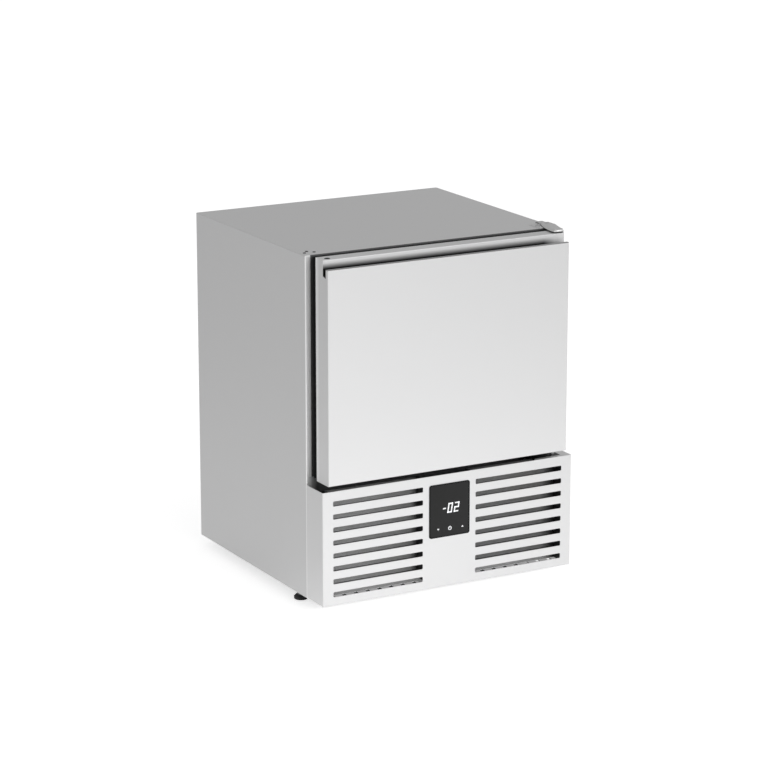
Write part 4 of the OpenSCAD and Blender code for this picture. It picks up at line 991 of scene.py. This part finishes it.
def placed(x, y, z, turn=0, tilt=0):
    return Matrix.Translation((x, y, z)) @ Matrix.Rotation(tilt, 4, "X") @ Matrix.Rotation(turn, 4, "Z")


def hingePlace(holeShade, z, turn=0):
    x, y = hingeHoles[holeShade]
    return placed(plateMiddle + x, frameFace + y, z, turn)


def edgeScrews(kind, low, high, between, tilt):  # along both sides, from bottom to top
    radius, twist = screw[kind][0], screw[kind + "Twist"]
    side, y = high.x - radius, low.y if tilt > 0 else high.y
    rows = (low.z + radius, *between, high.z - radius)
    places = [placed(sign * side, y, z, z * twist, tilt) for sign in (-1, 1) for z in rows]
    return scatter(screwShape(kind), kind + "Screws", places)


def makeScrews():
    quarter = math.pi / 2
    leafZ = plateLow.z + hinge["base"] + screw["leaf"][1]
    leafPlaces = [hingePlace("left", leafZ, 0.3), hingePlace("rear", leafZ, 0.7)]
    lowPlaces = [placed(x, frameFace - screw["leafThick"], leafHigh.z - screw["lowDrop"], turn, quarter)
                 for x, turn in screw["lowPlaces"]]
    piece = joined("hingeScrews", [
        scatter(screwShape("arm"), "armScrews", [hingePlace("right", plateHigh.z - hinge["armDrop"])]),
        scatter(screwShape("leaf"), "leafScrews", leafPlaces),
        scatter(screwShape("low"), "lowScrews", lowPlaces),
    ])
    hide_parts("hinge_screws")
    settle(piece, "screwZinc")
    piece = edgeScrews("panel", *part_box("panel_screws"), (), quarter)
    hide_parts("panel_screws")
    settle(piece, "screwZinc")
    piece = edgeScrews("back", *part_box("back_panel_screws"), (screw["backMiddle"],), -quarter)
    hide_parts("back_panel_screws")
    settle(piece, "screwZinc")


fins = {
    "count": 54, "thickness": 0.00025, "wave": 0.0009, "folds": 7,
    "sides": 0.003, "ends": 0.0015, "top": 0.005, "last": 0.002,  # the room left round them
}


def makeFins():  # thin pressed fins between the coil's plates
    coilLow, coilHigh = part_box("condenser_coil")
    left, right = condenserLow.x + fins["sides"], condenserHigh.x - fins["sides"]
    piece = startBox(
        "condenserFins", (left, coilLow.y + fins["ends"], coilLow.z + fins["top"]),
        (left + fins["thickness"], coilHigh.y - fins["ends"], coilHigh.z - fins["top"]),
    )
    openMesh(piece)
    pickEdges(piece, lambda a, b: abs(a.y - b.y) > 0.01)
    bpy.ops.mesh.subdivide(number_cuts=fins["folds"] - 1)
    step = (coilHigh.y - coilLow.y - 2 * fins["ends"]) / fins["folds"]
    pickPoints(piece, lambda place: round((place.y - coilLow.y - fins["ends"]) / step) % 2)
    slide(fins["wave"])
    closeMesh()
    pitch = (right - left - fins["last"]) / (fins["count"] - 1)
    modify(
        piece, "ARRAY", count=fins["count"], use_relative_offset=False, use_constant_offset=True,
        constant_offset_displace=(pitch, 0, 0),
    )
    settle(piece, "condenserMetal")


plugs = {
    "radius": 0.0034, "height": 0.0009, "doorRadius": 0.0052, "doorHeight": 0.0007,
    "rounding": 0.7,  # shares of the head's height and radius
    "dish": (0.35, 0.2), "stem": 0.0022, "stemLength": 0.006,
}


def plugShape(name, radius, height):  # button head at the origin, stem down
    piece = startRound(name, (0, 0, height / 2), radius, height)
    openMesh(piece)
    pickEdges(piece, lambda a, b: a.z > height * 0.9 and b.z > height * 0.9)
    bevel(height * plugs["rounding"], 4)
    pickFaces(piece, lambda place, normal: normal.z > 0.9 and place.z > height * 0.9)
    inset(radius * plugs["dish"][0], -height * plugs["dish"][1])
    pickFacing(piece, toDown)
    inset(radius - plugs["stem"])
    extrude(0, 0, -plugs["stemLength"])
    closeMesh()
    smooth(piece, 40)
    return piece


def makePlugs():  # they close the holes that a hinge on the left would use
    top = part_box("outer_shell")[1].z
    places = [placed(x - plateMiddle, frameFace + y, top) for x, y in hingeHoles.values()]
    piece = scatter(plugShape("topPlug", plugs["radius"], plugs["height"]), "cabinetPlugs", places)
    settle(piece, "blackPlastic")
    pinLow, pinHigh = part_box("top_hinge_pin")
    pin = (pinLow + pinHigh) / 2
    shape = plugShape("pinPlug", plugs["doorRadius"], plugs["doorHeight"])
    piece = scatter(shape, "doorPlug", [placed(-pin.x, pin.y, doorHigh.z)])
    settle(piece, "blackPlastic", "door")


def armShape(name, low, high, grow, slope):
    rows = [(y, left - grow, right + grow) for y, left, right in hinge["rows"]]
    rows[0] = (rows[0][0] + grow, *rows[0][1:])
    rows[-1] = (rows[-1][0] - grow, *rows[-1][1:])
    rear, rearLeft, rearRight = rows[0]
    front = rows[-1][0]
    middle = (rearLeft + rearRight) / 2
    piece = startBox(name, (rearLeft, rows[1][0], low), (rearRight, rear, high))
    openMesh(piece)
    for before, after in zip(rows[1:], rows[2:]):
        pickFacing(piece, toFront)
        extrude(0, after[0] - before[0], 0)
    pickPoints(piece, lambda place: place.x < middle and place.z > (low + high) / 2)
    slide(slope)
    for y, left, right in rows[1:]:
        pickPoints(piece, lambda place: abs(place.y - y) < tiny and place.x < middle)
        slide(left - rearLeft)
        pickPoints(piece, lambda place: abs(place.y - y) < tiny and place.x > rearRight - tiny)
        slide(right - rearRight)
    pickEdges(piece, lambda a, b: abs(a.z - b.z) > (high - low) * 0.9 and abs(a.y - front) < tiny)
    bevel(hinge["nose"], 7)
    closeMesh()
    return piece


def makeHinge():  # bent arm on a thin leaf, which carries the door's pin
    low, high = plateLow, plateHigh
    top = high.z - hinge["armDrop"]
    baseTop = low.z + hinge["base"]
    shimTop = baseTop + hinge["shimThick"]
    rearY, rearRight = hinge["rows"][0][0] - hinge["overlap"], hinge["rows"][0][2]
    tailLeft, tailBack, tailThick = hinge["tail"]
    arm = armShape("hingeArm", shimTop, top, 0, hinge["slope"])
    screwAt = hingePlace("right", top).translation
    bite(arm, startRound("armSeat", screwAt, hinge["seat"], hinge["seat"]))
    tail = startBox("hingeTail", (tailLeft, rearY, shimTop), (rearRight, tailBack, shimTop + tailThick))
    openMesh(tail)
    pickEdges(tail, lambda a, b: abs(a.z - b.z) > tiny and a.y > tailBack - tiny)
    bevel(hinge["tailCorner"], 4)
    closeMesh()
    fromLeft, fromFront = hinge["baseEdges"]
    corner = (low.x + fromLeft, frameFace + fromFront, low.z)
    base = startBox("hingeBase", corner, (rearRight, high.y, baseTop))
    openMesh(base)
    pickAll()
    bpy.ops.mesh.bisect(plane_co=(tailLeft - 0.001, 0, 0), plane_no=(1, 0, 0))
    pickFaces(base, lambda place, normal: normal.y > 0.9 and place.x > tailLeft)
    extrude(0, tailBack - high.y + hinge["baseBack"], 0)
    pickEdges(base, lambda a, b: abs(a.z - b.z) > tiny and (a.x < low.x + 0.002 or a.y > tailBack - 0.002))
    bevel(hinge["baseCorner"], 4)
    closeMesh()
    piece = joined("topHinge", [arm, tail, base])
    soften(piece, hinge["rounding"], 40)
    smooth(piece)
    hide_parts("top_hinge_plate")
    settle(piece, "hingeSteel")

    # thin dark pad between the leaf and the arm; its margin stands as a painted shade line round the arm's
    # foot
    grow = hinge["shimGrow"]
    pad = armShape("hingeShadePad", baseTop, shimTop, grow, 0)
    rear = startBox(
        "shimTail", (tailLeft - grow, rearY, baseTop), (rearRight, tailBack, shimTop - hinge["shimStep"])
    )
    piece = joined("hingeShadePad", [pad, rear])
    smooth(piece)
    settle(piece, "blackPlastic")


faceY = makeFascia()
makeDisplay(faceY)
makeKeys(faceY)
print("display made")
makeSeal()
print("seal made")
makeScrews()
print("screws made")
makePlugs()
print("plugs made")
makeHinge()
print("top hinge made")
makeFins()
print("fins made")


studio = {
    "floorSize": 80, "floorShade": 0.8,
    "deepShade": 0.12,  # painted shadow deep under the object
    "deepLeft": (0.225, 0.255),  # where it turns into the floor's own shade
    "deepRight": (0.235, 0.285), "deepAhead": (0.165, 0.195), "deepMiddle": -0.03,
    "object": (0.298, 0.288), "ahead": (-0.7, 0.1), "near": (0.4, 2.6), "seenGlow": 0.64,
    "nearGlow": 0.8,  # what metal sees of the floor in front of the object, on top of its own shade
    "farGlow": 0.32, "nearBackGlow": 0.35, "farBackGlow": 0.1, "behind": (-0.8, 0.5),
    "left": (0.1, 0.9), "high": (0.35, 1.0), "frontSky": 0.95, "backSky": 0.5, "leftSky": 0.52,
    "overhead": 0.6,
}


def glowBetween(near, high, low):
    return near * (studio[high] - studio[low]) + studio[low]


def emptyBoard(data):
    data.use_nodes = True
    data.node_tree.nodes.clear()
    return Board(data.node_tree)


def makeFloor():
    bpy.ops.mesh.primitive_plane_add(size=studio["floorSize"], location=(0, 0, 0))
    floor = bpy.context.object
    floor.name = "studioFloor"
    material = bpy.data.materials.new("studioFloor")
    board = emptyBoard(material)
    x, y, z = board.apart(board.node("ShaderNodeTexCoord", output="Object"))
    # metal sees no glow under the object
    outside = board.larger(abs(x) > studio["object"][0], abs(y) > studio["object"][1])
    airy = board.larger(board.ramp(x * -1, *studio["deepLeft"]), board.ramp(x, *studio["deepRight"]))
    airy = board.larger(airy, board.ramp(abs(y - studio["deepMiddle"]), *studio["deepAhead"]))
    ahead = 1 - board.ramp(y, *studio["ahead"])
    near = 1 - board.ramp(board.larger(abs(x), abs(y)), *studio["near"])
    front = glowBetween(near, "nearGlow", "farGlow")
    back = glowBetween(near, "nearBackGlow", "farBackGlow")
    metalGlow = (ahead * (front - back) + back) * outside
    seen = board.larger(board.ray("Camera"), board.ray("Transmission"))
    glossy = board.ray("Glossy") * (1 - seen)
    level = seen * airy * studio["seenGlow"] + glossy * metalGlow
    # painted shadow under the object
    shade = glowBetween(airy, "floorShade", "deepShade")
    tint = board.node("ShaderNodeCombineXYZ", feeds={0: shade, 1: shade, 2: shade})
    pale = board.node("ShaderNodeBsdfDiffuse", feeds={"Color": tint})
    glow = board.node("ShaderNodeEmission", feeds={"Color": (1, 1, 1), "Strength": level})
    both = board.node("ShaderNodeAddShader", feeds={0: pale, 1: glow})
    board.node("ShaderNodeOutputMaterial", feeds={"Surface": both})
    floor.data.materials.append(material)


def makeSky():
    world = bpy.data.worlds.new("studio")
    bpy.context.scene.world = world
    board = emptyBoard(world)
    x, y, z = board.apart(board.node("ShaderNodeTexCoord", output="Generated"))
    left = board.ramp(x * -1, *studio["left"])
    high = board.ramp(z, *studio["high"])
    level = glowBetween(board.ramp(y, *studio["behind"]), "backSky", "frontSky")
    level = level + left * (studio["leftSky"] - level)
    level = level * (1 - high * (1 - studio["overhead"]))
    level = board.larger(board.ray("Camera"), level)
    glow = board.node("ShaderNodeBackground", feeds={"Color": (1, 1, 1), "Strength": level})
    board.node("ShaderNodeOutputWorld", feeds={"Surface": glow})


lamps = {
    "key": {"place": (1.0, -4.4, 2.6), "aim": (0, -0.2, 0.4), "size": 3.0, "power": 22},
    "fill": {"place": (-3.6, -1.2, 2.6), "aim": (-0.2, 0, 0.4), "size": 2.6, "power": 8},
}


def makeLamps():
    for name, lamp in lamps.items():
        data = bpy.data.lights.new(name, "AREA")
        data.shape = "SQUARE"
        data.size = lamp["size"]
        data.energy = lamp["power"]
        light = linked(name, data, lamp["place"])
        aim = Vector(lamp["aim"]) - Vector(lamp["place"])
        light.rotation_euler = aim.to_track_quat("-Z", "Y").to_euler()


makeFloor()
makeSky()
makeLamps()
bpy.context.scene.view_settings.view_transform = "Standard"
print("studio made")
